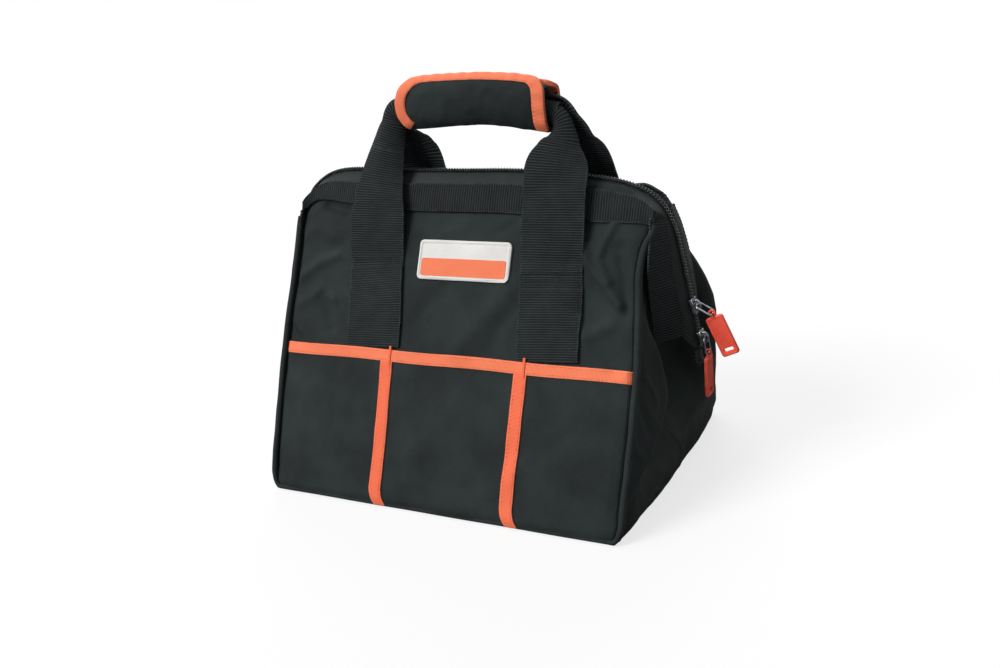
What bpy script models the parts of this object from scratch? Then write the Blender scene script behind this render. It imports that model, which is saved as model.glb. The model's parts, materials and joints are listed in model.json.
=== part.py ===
"""A closed-top tool bag that stands on a flat base, built piece by piece at its real size.

The frame's origin is the middle of the base's underside. X runs along the bag's width, +X to the
right as seen from the front, +Y runs to the back and +Z runs up. Lengths are in metres.

Each wall is built in its own frame, whose origin is on the wall's hinge at the base seam: x runs
along the seam, y runs inward through the wall and z runs up its slant. The back wall's frame is
the front one turned half round, so its x runs the other way.
"""

import math

import bmesh
import bpy
from mathutils import Matrix, Vector

# Driving sizes of the bag
bag_width = 0.300
base_depth = 0.228
wall_slant = 0.250  # from the base seam to the top of the webbing band
mouth_half_gap = 0.0072  # from the top of a band to the middle of the closed zip
front_bow = 0.002  # how far the front swells from the flat at half its height
back_bow = 0.012
clearance = 0.0003
cloth = 0.0015
corner_steps = 4
bow_steps = 8

# Base
base_corner_radius = 0.018
base_edge_inset = 0.0030
board_thickness = 0.0030
board_inset = 0.0105

# Walls
foam_thickness = 0.0030
lining_thickness = 0.0008
foam_rise = 0.0052  # how far the padding starts above the base seam
lining_rise = 0.0066
seam_rise = 0.0012
panel_top_radius = 0.025
panel_bottom_radius = 0.012
piping_radius = 0.0028
piping_steps = 7
piping_top_angle = math.radians(46)
gusset_inset = 0.0010
gusset_sheet = 0.0012
# The fold's corners: shares of the wall's slant, and of the level way to the middle plane
gusset_corner_shares = ((0.62, 0.30), (0.52, 0.62), (0.40, 0.62), (0.22, 0.36), (0.17, 0.33), (0.12, 0.30))
gusset_top_share = 0.70
gusset_flares = {"front": 0.0125, "back": 0.0160}  # how far each half swells out of the side
# Two crests run down each half, at these shares of the way from the seam to the fold's corners
gusset_crest_shares = {"front": (0.40, 0.80), "back": (0.26, 0.74)}
# The crests' swelling beside each corner, as shares of the flare
gusset_swell_shares = {
    "front": ((0.20, 0.35), (0.45, 0.90), (0.50, 1.00), (0.40, 0.60), (0.20, 0.25), (0.00, 0.00)),
    "back": ((0.55, 0.50), (0.95, 0.90), (1.00, 1.00), (0.90, 0.80), (0.50, 0.45), (0.00, 0.00)),
}

# Band and zip
band_height = 0.025
webbing = 0.0016
zip_tape_thickness = 0.0008
zip_tape_seam = 0.012  # how far the zip's tape reaches down behind the band
teeth_height = 0.0024
teeth_depth = 0.0024
zip_end_inset = 0.0460  # of the straight zip's ends, from the bag's sides
zip_half_length = bag_width / 2 - zip_end_inset

# Pockets
pocket_height = 0.1195
pocket_corner_radius = 0.010
binding_width = 0.0105
binding_thickness = 0.0008
pocket_tape_half_pitch = 0.058
pocket_tape_rise = 0.0024

# Straps and label
strap_width = 0.049
strap_half_pitch = 0.0745
back_strap_shift = 0.008  # of the back straps' middle, to the right
strap_end_gap = 0.0005
label_width = 0.078
label_height = 0.0300
label_rise = 0.1905  # of its middle, up the slant
label_shift = 0.006  # of its middle, to the right
label_thickness = 0.0010
label_corner_radius = 0.003
label_border = 0.0025
label_bar_height = 0.0135
label_bar_thickness = 0.0005

# Free strap legs, from the band's top to the grip
leg_hinge_rise = 0.0006  # above the wall's slant
leg_hinge_stand_off = 0.0060
leg_thickness = 0.0016
leg_lap = 0.0030
leg_top_gap = 0.0003
leg_outer_half = 0.0840
leg_inner_half = 0.0642
leg_full_share = 0.24  # shares of the leg's length
leg_neck_share = 0.54

# Grip
grip_pivot_height = 0.2796
grip_pivot_half = 0.0050
grip_shift = 0.008  # of the grip's middle, to the right
wrap_half_length = 0.061
wrap_bottom = 0.2640
wrap_height = 0.0405
wrap_half_depth = 0.0118
wrap_shell = 0.0015
wrap_corner = 0.0062
flap_hinge_half = 0.0070
flap_end = 0.0026  # from the middle to the flap's top edge
bunch_half_length = 0.0835
bunch_rise = 0.0007  # of the folded straps over the grip's pivots
bunch_height = 0.0180
bunch_half_depth = 0.0066
bunch_half_gap = 0.0004
grip_foam_wall = 0.0021
grip_binding_width = 0.0075

# Zip ends that run down the sides
lower_slider_height = 0.1120
slider_spacing = 0.0240  # between the two sliders' middles
zip_end_drop = 0.0080  # from the lower slider's middle to the zip's end
side_zip_top_height = 0.2060
side_zip_top_stand_out = 0.0040  # from the bag's side
side_zip_bottom_stand_out = 0.0250
side_chain_half_width = 0.0024
side_chain_half_depth = 0.0013
side_band_width = 0.0340
side_band_angle = math.radians(35)
corner_band_angle = math.radians(27)
zip_corner_steps = 5
side_band_top_width = 0.0062
side_band_thickness = 0.0016
side_band_tip_gap = 0.0030
side_band_shares = (0, 0.76, 1)  # of the side zip's length, where the band's width changes
end_tab_length = 0.0110
end_tab_half_width = 0.0060
end_tab_thickness = 0.0020

# Sliders and pulls
slider_heights = {"upper": lower_slider_height + slider_spacing, "lower": lower_slider_height}
slider_half_width = 0.0046
slider_half_length = 0.0058
slider_plate = 0.0016
bridge_half_width = 0.0011
bridge_bar = 0.0014
bridge_hole_depth = 0.0030
bridge_hole_half_length = 0.0024
ring_wire_radius = 0.0007
ring_half_width = 0.0052
ring_length = 0.0115  # from the slider's pin to the tab's pin
ring_tilts = {"upper": math.radians(62), "lower": math.radians(8)}
tab_tilts = {"upper": math.radians(24), "lower": math.radians(0)}
tab_across = {"upper": "x", "lower": "y"}  # the way that the tab's width runs
tab_length = 0.0310
tab_width = 0.0135
tab_thickness = 0.0032
tab_eye_radius = 0.0024
tab_eye_hole = 0.0011
tab_eye_half_width = 0.0016
tab_corner_radius = 0.0018
tab_slot_length = 0.0075
tab_slot_height = 0.0024
tab_slot_rise = 0.0030
cutter_overrun = 0.0020
round_steps = 16

# Worked out from the sizes above
half_depth = base_depth / 2
wall_lean = math.asin((half_depth - mouth_half_gap) / wall_slant)
lean_sine = math.sin(wall_lean)
lean_cosine = math.cos(wall_lean)
panel_half = bag_width / 2 - 2 * piping_radius - clearance
lining_half = panel_half - gusset_inset - 2 * gusset_sheet - 3 * clearance
teeth_inner = cloth + clearance + zip_tape_thickness + clearance
teeth_outer = teeth_inner - teeth_depth
teeth_top = (half_depth - clearance - teeth_inner * lean_cosine) / lean_sine
teeth_bottom = teeth_top - teeth_height
zip_line_height = (teeth_top - teeth_height / 2) * lean_cosine - teeth_inner * lean_sine / 2
band_bottom = wall_slant - band_height
band_face = -clearance - webbing
side_zip_top = Vector((bag_width / 2 + side_zip_top_stand_out, 0, side_zip_top_height))
side_zip_bottom = Vector(
    (bag_width / 2 + side_zip_bottom_stand_out, 0, lower_slider_height - zip_end_drop)
)
side_lean = math.atan2(side_zip_bottom.x - side_zip_top.x, side_zip_top.z - side_zip_bottom.z)

CHARCOAL = ("charcoal_polyester", (0.018, 0.022, 0.022, 1), 0.75, 0)
WEBBING = ("black_webbing", (0.008, 0.010, 0.010, 1), 0.8, 0)
ORANGE = ("orange_binding", (0.98, 0.14, 0.045, 1), 0.7, 0)
LINING = ("black_lining", (0.006, 0.006, 0.007, 1), 0.7, 0)
FOAM = ("grey_foam", (0.12, 0.12, 0.12, 1), 0.9, 0)
BOARD = ("grey_board", (0.05, 0.05, 0.05, 1), 0.6, 0)
LABEL = ("white_label", (0.75, 0.75, 0.73, 1), 0.6, 0)
COIL = ("black_nylon_coil", (0.01, 0.01, 0.01, 1), 0.4, 0)
GUNMETAL = ("gunmetal", (0.12, 0.12, 0.125, 1), 0.35, 1)
RUBBER = ("orange_rubber", (0.98, 0.085, 0.045, 1), 0.5, 0)


def clear_scene():
    for old in list(bpy.data.objects):
        bpy.data.objects.remove(old, do_unlink=True)


def material(finish):
    """The finish's Principled material, made once."""
    name, colour, roughness, metallic = finish
    found = bpy.data.materials.get(name)
    if found:
        return found
    made = bpy.data.materials.new(name)
    made.use_nodes = True
    shader = made.node_tree.nodes["Principled BSDF"]
    shader.inputs["Base Color"].default_value = colour
    shader.inputs["Roughness"].default_value = roughness
    shader.inputs["Metallic"].default_value = metallic
    made.diffuse_color = colour
    return made


def empty(name, matrix, parent=None):
    """A bare frame at this place, given in its parent's frame."""
    made = bpy.data.objects.new(name, None)
    bpy.context.collection.objects.link(made)
    made.parent = parent
    made.matrix_local = matrix
    return made


def finish_object(name, shape, finish, parent=None, bow=0.0):
    """Turns a bmesh into the named object, swollen outward by bow as its wall is."""
    if bow:
        swell(shape, bow)
    bmesh.ops.recalc_face_normals(shape, faces=shape.faces)
    mesh = bpy.data.meshes.new(name)
    shape.to_mesh(mesh)
    shape.free()
    mesh.materials.append(material(finish))
    made = bpy.data.objects.new(name, mesh)
    bpy.context.collection.objects.link(made)
    made.parent = parent
    return made


def swell(shape, bow):
    """Moves a wall's piece outward by a parabola that is nothing at the seam and the band's top."""
    low = min(vertex.co.z for vertex in shape.verts)
    high = max(vertex.co.z for vertex in shape.verts)
    for step in range(1, bow_steps + 1):
        height = wall_slant * step / bow_steps
        if low < height < high:
            parts = shape.verts[:] + shape.edges[:] + shape.faces[:]
            bmesh.ops.bisect_plane(shape, geom=parts, plane_co=(0, 0, height), plane_no=(0, 0, 1))
    for vertex in shape.verts:
        vertex.co.y -= bow_at(vertex.co.z, bow)


def bow_at(height, bow):
    """The swelling at this height, straight between the heights where swell cuts the pieces."""
    steps_up = min(max(height / wall_slant, 0), 1) * bow_steps
    below = min(math.floor(steps_up), bow_steps - 1)
    low, high = (4 * bow * step * (bow_steps - step) / bow_steps**2 for step in (below, below + 1))
    return low + (high - low) * (steps_up - below)


def rounded(corners):
    """An outline from (a, b, radius) corners, each radius drawn as an arc."""
    points = []
    count = len(corners)
    for index, (a, b, radius) in enumerate(corners):
        here = Vector((a, b))
        if radius == 0:
            points.append((a, b))
            continue
        to_last = (Vector(corners[index - 1][:2]) - here).normalized()
        to_next = (Vector(corners[(index + 1) % count][:2]) - here).normalized()
        half_angle = to_last.angle(to_next) / 2
        reach = radius / math.tan(half_angle)
        centre = here + (to_last + to_next).normalized() * radius / math.sin(half_angle)
        start = here + to_last * reach - centre
        end = here + to_next * reach - centre
        for step in range(corner_steps + 1):
            share = step / corner_steps
            arm = (start * (1 - share) + end * share).normalized() * radius
            points.append(tuple(centre + arm))
    return points


def rectangle(low_a, high_a, low_b, high_b, bottom_radius=0.0, top_radius=0.0):
    return rounded(
        [
            (low_a, low_b, bottom_radius),
            (high_a, low_b, bottom_radius),
            (high_a, high_b, top_radius),
            (low_a, high_b, top_radius),
        ]
    )


def prism(outline, along, low, high):
    """A bmesh of an outline carried along one axis: (x, y), (x, z) or (y, z) points, in that order."""
    places = {
        "x": lambda a, b, c: (c, a, b),
        "y": lambda a, b, c: (a, c, b),
        "z": lambda a, b, c: (a, b, c),
    }
    shape = bmesh.new()
    start = [shape.verts.new(places[along](a, b, low)) for a, b in outline]
    face = shape.faces.new(start)
    grown = bmesh.ops.extrude_face_region(shape, geom=[face])
    moved = [part for part in grown["geom"] if isinstance(part, bmesh.types.BMVert)]
    bmesh.ops.translate(shape, verts=moved, vec=places[along](0, 0, high - low))
    return shape


def ribbon(path, thickness):
    """An outline round a path of (a, b) points, which grows to the path's left by the thickness."""
    points = [Vector(point) for point in path]
    grown = []
    for index, point in enumerate(points):
        back = (point - points[index - 1]).normalized() if index else None
        ahead = (points[index + 1] - point).normalized() if index + 1 < len(points) else None
        back = back or ahead
        ahead = ahead or back
        across = Vector((-back.y - ahead.y, back.x + ahead.x)).normalized()
        stretch = 1 / max(across.dot(Vector((-back.y, back.x))), math.sin(math.radians(30)))
        grown.append(tuple(point + across * thickness * stretch))
    return [tuple(point) for point in points] + grown[::-1]


def join(target, *others):
    """Fuses the other objects into the target by Boolean unions, applied at once."""
    combine(target, others, "UNION")


def cut(target, *others):
    combine(target, others, "DIFFERENCE")


def combine(target, others, operation):
    for other in others:
        step = target.modifiers.new(operation.lower(), "BOOLEAN")
        step.operation = operation
        step.object = other
        bpy.context.view_layer.update()
        graph = bpy.context.evaluated_depsgraph_get()
        mesh = bpy.data.meshes.new_from_object(target.evaluated_get(graph))
        target.modifiers.clear()
        target.data = mesh
        bpy.data.objects.remove(other, do_unlink=True)


def tube(name, points, radius, finish, parent, closed=False):
    """A round wire or piping along the points."""
    line = bpy.data.curves.new(name, "CURVE")
    line.dimensions = "3D"
    line.bevel_depth = radius
    line.bevel_resolution = 2
    line.use_fill_caps = not closed
    spline = line.splines.new("POLY")
    spline.points.add(len(points) - 1)
    spline.use_cyclic_u = closed
    for place, point in zip(spline.points, points):
        place.co = (*point, 1)
    line.materials.append(material(finish))
    made = bpy.data.objects.new(name, line)
    bpy.context.collection.objects.link(made)
    made.parent = parent
    return made


def make_base():
    depth = half_depth - base_edge_inset
    radius = base_corner_radius
    corners = rectangle(-panel_half, panel_half, -depth, depth, radius, radius)
    finish_object("base_panel", prism(corners, "z", 0, cloth), CHARCOAL)
    depth = half_depth - board_inset
    radius = base_corner_radius / 2
    corners = rectangle(-lining_half, lining_half, -depth, depth, radius, radius)
    bottom = cloth + clearance
    finish_object("base_board", prism(corners, "z", bottom, bottom + board_thickness), BOARD)


def wall_line(height, inward, bow):
    """World distance from the middle plane to a wall's layer, at a world height."""
    along = (height + inward * lean_sine) / lean_cosine
    return half_depth - along * lean_sine - inward * lean_cosine + bow_at(along, bow) * lean_cosine


def make_gusset_centers():
    """The fold of each side that stays between the walls, from the base to the zip's end."""
    inner = cloth + foam_thickness / 2
    bottom = cloth + clearance
    top = side_zip_top.z
    heights = [bottom + (top - bottom) * step / bow_steps for step in range(bow_steps + 1)]
    front = [(-wall_line(height, inner, 0), height) for height in heights]
    back = [(wall_line(height, inner, 0), height) for height in reversed(heights)]
    outer = panel_half - gusset_inset - gusset_sheet - clearance
    for side, sign in (("left", -1), ("right", 1)):
        low, high = sorted((sign * outer, sign * (outer - gusset_sheet)))
        finish_object(f"gusset_center_{side}", prism(front + back, "x", low, high), CHARCOAL)


def wall_frame(name, turn):
    """The wall's hinge, on the base seam, with z leaning toward the closed mouth."""
    half_turn = Matrix.Rotation(turn, 4, "Z")
    place = Matrix.Translation((0, -half_depth, 0))
    lean = Matrix.Rotation(-wall_lean, 4, "X")
    return empty(name, half_turn @ place @ lean)


def make_wall_layers(word, frame, bow):
    panel = rectangle(
        -panel_half, panel_half, seam_rise, wall_slant, panel_bottom_radius, panel_top_radius
    )
    finish_object(f"{word}_panel", prism(panel, "y", 0, cloth), CHARCOAL, frame, bow)

    foam_face = cloth + clearance
    tape_bottom = wall_slant - zip_tape_seam
    foam = rectangle(
        -lining_half, lining_half, foam_rise, tape_bottom - clearance, panel_bottom_radius
    )
    shape = prism(foam, "y", foam_face, foam_face + foam_thickness)
    finish_object(f"{word}_foam", shape, FOAM, frame, bow)

    lining_face = foam_face + foam_thickness + clearance
    lining = rectangle(-lining_half, lining_half, lining_rise, tape_bottom, panel_bottom_radius)
    shape = prism(lining, "y", lining_face, lining_face + lining_thickness)
    finish_object(f"{word}_lining", shape, LINING, frame, bow)


def make_piping(word, frame, bow, sides):
    """Piping up both side edges of a wall and round its lower and upper corners."""
    centre = panel_half + clearance + piping_radius
    corner = panel_top_radius + clearance + piping_radius
    foot = panel_bottom_radius + clearance + piping_radius
    top_centre = wall_slant - panel_top_radius
    foot_centre = seam_rise + panel_bottom_radius
    straight = [
        foot_centre + (top_centre - foot_centre) * step / bow_steps
        for step in range(1, bow_steps)
    ]
    lowest = (piping_radius + clearance + cloth * lean_sine) / lean_cosine
    foot_angle = math.asin((foot_centre - lowest) / foot)
    profile = []
    for step in range(piping_steps):
        angle = foot_angle * (1 - step / (piping_steps - 1))
        profile.append(
            (centre - foot + foot * math.cos(angle), foot_centre - foot * math.sin(angle))
        )
    profile += [(centre, height) for height in straight]
    for step in range(piping_steps):
        angle = piping_top_angle * step / (piping_steps - 1)
        profile.append(
            (centre - corner + corner * math.cos(angle), top_centre + corner * math.sin(angle))
        )
    for side, sign in sides:
        points = [(sign * x, cloth / 2 - bow_at(z, bow), z) for x, z in profile]
        tube(f"{word}_piping_{side}", points, piping_radius, CHARCOAL, frame)


def make_band_and_zip(word, frame, bow):
    outline = rectangle(-panel_half, panel_half, band_bottom, wall_slant, 0, panel_top_radius)
    shape = prism(outline, "y", band_face, -clearance)
    finish_object(f"{word}_band", shape, WEBBING, frame, bow)

    tape_bottom = wall_slant - zip_tape_seam + clearance
    tape_top = teeth_bottom - clearance
    face = cloth + clearance
    outline = rectangle(-zip_half_length, zip_half_length, tape_bottom, tape_top)
    shape = prism(outline, "y", face, face + zip_tape_thickness)
    finish_object(f"{word}_zip_tape", shape, WEBBING, frame, bow)

    outline = rectangle(-zip_half_length, zip_half_length, teeth_bottom, teeth_top)
    shape = prism(outline, "y", teeth_outer, teeth_inner)
    finish_object(f"{word}_zip_teeth", shape, COIL, frame, bow)


def make_sewn_straps(word, frame, bow, foot, sides, shift):
    """The sewn runs of the carrying straps, flat on the panel and then over the band."""
    step_down = webbing + clearance
    end = wall_slant - strap_end_gap
    lower = band_bottom - step_down
    path = [
        (-clearance, foot),
        (-clearance, lower - step_down),
        (band_face - clearance, lower),
        (band_face - clearance, end),
    ]
    outline = ribbon(path, webbing)
    for side, sign in sides:
        middle = sign * strap_half_pitch + shift
        shape = prism(outline, "x", middle - strap_width / 2, middle + strap_width / 2)
        finish_object(f"{word}_strap_{side}", shape, WEBBING, frame, bow)


def gusset_rows(word):
    """Rows of (x, y, z) places down half a side's fold, each from the wall's seam to a corner."""
    layer = cloth + clearance
    outer = panel_half - gusset_inset
    past_piping = 2 * piping_radius + clearance
    seams = [Vector((layer, wall_slant * share)) for share, _ in gusset_corner_shares[:-2]]
    seams.append(Vector((layer, seam_rise + panel_bottom_radius)))
    seams.append(Vector((layer + 2 * piping_radius, foam_rise)))
    rows = []
    for seam, corner, swells in zip(seams, gusset_corner_shares, gusset_swell_shares[word]):
        height_share, depth_share = corner
        along = wall_slant * height_share
        way = (half_depth - along * lean_sine) * depth_share
        inner = Vector((layer + way * lean_cosine, along - way * lean_sine))
        crests = zip(gusset_crest_shares[word], swells)
        foot = seam.lerp(inner, past_piping / (inner.x - seam.x))
        row = [(outer, *seam), (outer, *foot)]
        for share, swell_share in crests:
            row.append((outer + gusset_flares[word] * swell_share, *foot.lerp(inner, share)))
        rows.append(row + [(outer, *inner)])
    return rows


def make_wall_gussets(word, frame, bow, sides):
    """The half of each side's fold that is sewn to this wall. It swells out between its seams."""
    past_piping = cloth + clearance + 2 * piping_radius + clearance
    apex = (panel_half - gusset_inset, past_piping, wall_slant * gusset_top_share)
    for side, sign in sides:
        shape = bmesh.new()
        top = shape.verts.new((sign * apex[0], *apex[1:]))
        rows = [[shape.verts.new((sign * x, y, z)) for x, y, z in row] for row in gusset_rows(word)]
        for first, second in zip(rows[0], rows[0][1:]):
            shape.faces.new((top, first, second))
        for upper, lower in zip(rows, rows[1:]):
            for index in range(len(upper) - 1):
                shape.faces.new((upper[index], lower[index], lower[index + 1], upper[index + 1]))
        grown = bmesh.ops.extrude_face_region(shape, geom=shape.faces[:])
        moved = [part for part in grown["geom"] if isinstance(part, bmesh.types.BMVert)]
        bmesh.ops.translate(shape, verts=moved, vec=(-sign * gusset_sheet, 0, 0))
        bmesh.ops.triangulate(shape, faces=shape.faces[:])
        finish_object(f"{word}_gusset_{side}", shape, CHARCOAL, frame, bow)


def make_pockets(frame):
    """One wide panel sewn on as three flat pockets, with an orange edge and two orange seams."""
    outline = rectangle(
        -panel_half, panel_half, seam_rise, pocket_height, pocket_corner_radius
    )
    face = -clearance - cloth
    shape = prism(outline, "y", face, -clearance)
    finish_object("front_pocket", shape, CHARCOAL, frame, front_bow)

    binding_bottom = pocket_height - binding_width
    outline = rectangle(-panel_half, panel_half, binding_bottom, pocket_height)
    outer = face - clearance - binding_thickness
    shape = prism(outline, "y", outer, face - clearance)
    finish_object("pocket_binding", shape, ORANGE, frame, front_bow)

    for side, sign in (("left", -1), ("right", 1)):
        middle = sign * pocket_tape_half_pitch
        outline = rectangle(
            middle - binding_width / 2,
            middle + binding_width / 2,
            pocket_tape_rise,
            binding_bottom - clearance,
        )
        shape = prism(outline, "y", outer, face - clearance)
        finish_object(f"pocket_tape_{side}", shape, ORANGE, frame, front_bow)


def make_label(frame):
    low = label_shift - label_width / 2
    high = label_shift + label_width / 2
    bottom = label_rise - label_height / 2
    top = label_rise + label_height / 2
    radius = label_corner_radius
    outline = rectangle(low, high, bottom, top, radius, radius)
    face = -clearance - label_thickness
    shape = prism(outline, "y", face, -clearance)
    finish_object("label_patch", shape, LABEL, frame, front_bow)

    inner = radius - label_border / 2
    outline = rectangle(
        low + label_border,
        high - label_border,
        bottom + label_border,
        bottom + label_border + label_bar_height,
        inner,
        inner,
    )
    shape = prism(outline, "y", face - clearance - label_bar_thickness, face - clearance)
    finish_object("label_bar", shape, ORANGE, frame, front_bow)


def leg_frame(word, turn):
    """The free legs' hinge at the band's top, with z toward the grip's pivot, and their length."""
    along = wall_slant + leg_hinge_rise
    out = half_depth - along * lean_sine + leg_hinge_stand_off * lean_cosine
    height = along * lean_cosine + leg_hinge_stand_off * lean_sine
    rise = grip_pivot_height - height
    run = out - grip_pivot_half
    place = Matrix.Translation((0, -out, height))
    lean = Matrix.Rotation(-math.atan2(run, rise), 4, "X")
    frame = empty(f"{word}_leg_hinge", Matrix.Rotation(turn, 4, "Z") @ place @ lean)
    return frame, math.hypot(rise, run)


def make_legs(word, turn, sides, foot_shift, top_shift):
    frame, length = leg_frame(word, turn)
    outer = strap_half_pitch + strap_width / 2
    inner = strap_half_pitch - strap_width / 2
    top = length - leg_top_gap
    for side, sign in sides:
        outline = [
            (sign * outer + foot_shift, -leg_lap),
            (sign * outer + foot_shift, length * leg_full_share),
            (sign * leg_outer_half + top_shift, length * (leg_full_share + leg_neck_share)),
            (sign * leg_outer_half + top_shift, top),
            (sign * leg_inner_half + top_shift, top),
            (sign * leg_inner_half + top_shift, length * leg_neck_share),
            (sign * inner + foot_shift, length * leg_full_share),
            (sign * inner + foot_shift, -leg_lap),
        ]
        shape = prism(outline, "y", -leg_thickness / 2, leg_thickness / 2)
        finish_object(f"{word}_leg_{side}", shape, WEBBING, frame)


def wrap_path(sign, start, end):
    """The wrap's outer skin in (y, z), from the bottom round one face to the top."""
    top = wrap_bottom + wrap_height
    return [
        (sign * start, wrap_bottom),
        (sign * (wrap_half_depth - wrap_corner / 6), wrap_bottom + wrap_corner),
        (sign * wrap_half_depth, wrap_bottom + wrap_height / 2),
        (sign * (wrap_half_depth - wrap_corner / 8), top - wrap_corner),
        (sign * (wrap_half_depth - wrap_corner), top - wrap_corner / 4),
        (sign * end, top),
    ]


def make_grip():
    """The folded straps, the padding and the wrap's back half, on the front legs' pivot."""
    pivot = (grip_shift, -grip_pivot_half, grip_pivot_height)
    frame = empty("grip_pivot", Matrix.Translation(pivot))
    shift = Vector((grip_pivot_half, -grip_pivot_height))

    def local(path):
        return [tuple(Vector(point) + shift) for point in path]

    bunch_bottom = grip_pivot_height + bunch_rise
    bunch_top = bunch_bottom + bunch_height
    for word, sign in (("front", -1), ("back", 1)):
        near, far = sorted((sign * bunch_half_gap, sign * bunch_half_depth))
        outline = local(rectangle(near, far, bunch_bottom, bunch_top))
        shape = prism(outline, "x", -bunch_half_length, bunch_half_length)
        finish_object(f"grip_strap_{word}", shape, WEBBING, frame)

    bore = bunch_half_depth + clearance
    outer = bore + grip_foam_wall
    floor = wrap_bottom + wrap_shell + clearance
    rounding = wrap_corner / 2
    brim = wrap_bottom + wrap_height - wrap_corner - wrap_shell - clearance
    outline = [
        (-outer, brim),
        (-outer, floor + wrap_corner),
        (-outer + rounding, floor),
        (outer - rounding, floor),
        (outer, floor + wrap_corner),
        (outer, brim),
        (bore, brim),
        (bore, bunch_bottom - clearance),
        (-bore, bunch_bottom - clearance),
        (-bore, brim),
    ]
    half = wrap_half_length - clearance
    finish_object("grip_foam", prism(local(outline), "x", -half, half), FOAM, frame)

    bottom_lap = (wrap_shell + clearance - flap_hinge_half, wrap_bottom)
    meeting = wrap_shell - flap_end
    path = [bottom_lap] + wrap_path(1, flap_hinge_half, meeting)
    shape = prism(local(ribbon(path, wrap_shell)), "x", -wrap_half_length, wrap_half_length)
    finish_object("grip_wrap", shape, CHARCOAL, frame)

    back = wrap_path(1, flap_hinge_half, meeting)[1:]
    make_edging("wrap_binding", local(back), -1, frame)


def make_edging(name, path, grow, frame):
    """Orange tape round three edges of a wrap's half: both ends and the top."""
    near = ribbon(path, grow * clearance)[len(path) :][::-1]
    far = ribbon(path, grow * (clearance + binding_thickness))[len(path) :][::-1]
    inner_end = wrap_half_length - grip_binding_width
    columns = (-wrap_half_length, -inner_end, inner_end, wrap_half_length)
    last_row = len(path) - 2
    kept = {
        (column, row)
        for column in range(len(columns) - 1)
        for row in range(last_row + 1)
        if column != 1 or row == last_row
    }
    shape = bmesh.new()
    corners = {}
    for column, x in enumerate(columns):
        for row in range(len(path)):
            for layer, places in enumerate((near, far)):
                corners[column, row, layer] = shape.verts.new((x, *places[row]))
    for column, row in kept:
        around = [(column, row), (column + 1, row), (column + 1, row + 1), (column, row + 1)]
        for layer in (0, 1):
            shape.faces.new([corners[(*corner, layer)] for corner in around])
        beside = ((column, row - 1), (column + 1, row), (column, row + 1), (column - 1, row))
        for side, neighbour in enumerate(beside):
            if neighbour in kept:
                continue
            first, second = around[side], around[(side + 1) % 4]
            shape.faces.new(
                [
                    corners[(*first, 0)],
                    corners[(*second, 0)],
                    corners[(*second, 1)],
                    corners[(*first, 1)],
                ]
            )
    bmesh.ops.delete(shape, geom=[v for v in shape.verts if not v.link_faces], context="VERTS")
    finish_object(name, shape, ORANGE, frame)


def make_flap():
    """The wrap's front half, which peels open about its lower fold."""
    hinge = Vector((-flap_hinge_half, wrap_bottom))
    frame = empty("flap_hinge", Matrix.Translation((grip_shift, hinge.x, hinge.y)))
    path = wrap_path(-1, flap_hinge_half, flap_end)
    local = [tuple(Vector(point) - hinge) for point in path]
    shape = prism(ribbon(local, -wrap_shell), "x", -wrap_half_length, wrap_half_length)
    finish_object("wrap_flap", shape, CHARCOAL, frame)
    make_edging("flap_binding", local[1:], 1, frame)


def side_frame(name, height, sign):
    """A frame on a side's zip line at this height: z runs up the line and x runs out of the bag."""
    share = (side_zip_top.z - height) / (side_zip_top.z - side_zip_bottom.z)
    place = side_zip_top.lerp(side_zip_bottom, share)
    lean = Matrix.Rotation(-side_lean, 4, "Y")
    mirror = Matrix.Rotation(0 if sign > 0 else math.pi, 4, "Z")
    return empty(name, mirror @ Matrix.Translation(place) @ lean)


def side_zip_line():
    """The zip's line down the right side, from the base end up and round the corner, in (x, z).

    The corner is a quadratic curve, level where it meets the top and along the side's own line.
    """
    side = [side_zip_bottom.lerp(side_zip_top, share).xz for share in side_band_shares]
    start = Vector((zip_half_length + clearance, zip_line_height))
    rise = zip_line_height - side_zip_top.z
    knee = Vector((side_zip_top.x - rise * math.tan(side_lean), zip_line_height))
    corner = []
    for step in range(1, zip_corner_steps + 1):
        share = step / zip_corner_steps
        first = side[-1].lerp(knee, share)
        corner.append(first.lerp(knee.lerp(start, share), share))
    return side, corner


def make_side_zips():
    """The zip's ends, which run round the corners and down each side between two bands."""
    side_points, corner_points = side_zip_line()
    path = [side_points[0], side_points[-1]] + corner_points
    inner = ribbon(path, side_chain_half_depth)[len(path) :][::-1]
    for side, sign in (("left", -1), ("right", 1)):
        outline = [(sign * a, b) for a, b in ribbon(inner, -2 * side_chain_half_depth)]
        shape = prism(outline, "y", -side_chain_half_width, side_chain_half_width)
        finish_object(f"side_chain_{side}", shape, COIL)

        frame = side_frame(f"side_zip_{side}", side_zip_bottom.z, sign)
        near = -side_chain_half_depth - clearance
        half = end_tab_half_width
        outline = rectangle(near - end_tab_thickness, near, -half, half)
        shape = prism(outline, "z", -end_tab_length, -clearance)
        finish_object(f"zip_end_tab_{side}", shape, WEBBING, frame)
        for word, face in (("front", -1), ("back", 1)):
            make_side_band(f"side_band_{word}_{side}", side_points, corner_points, sign, face)


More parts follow.
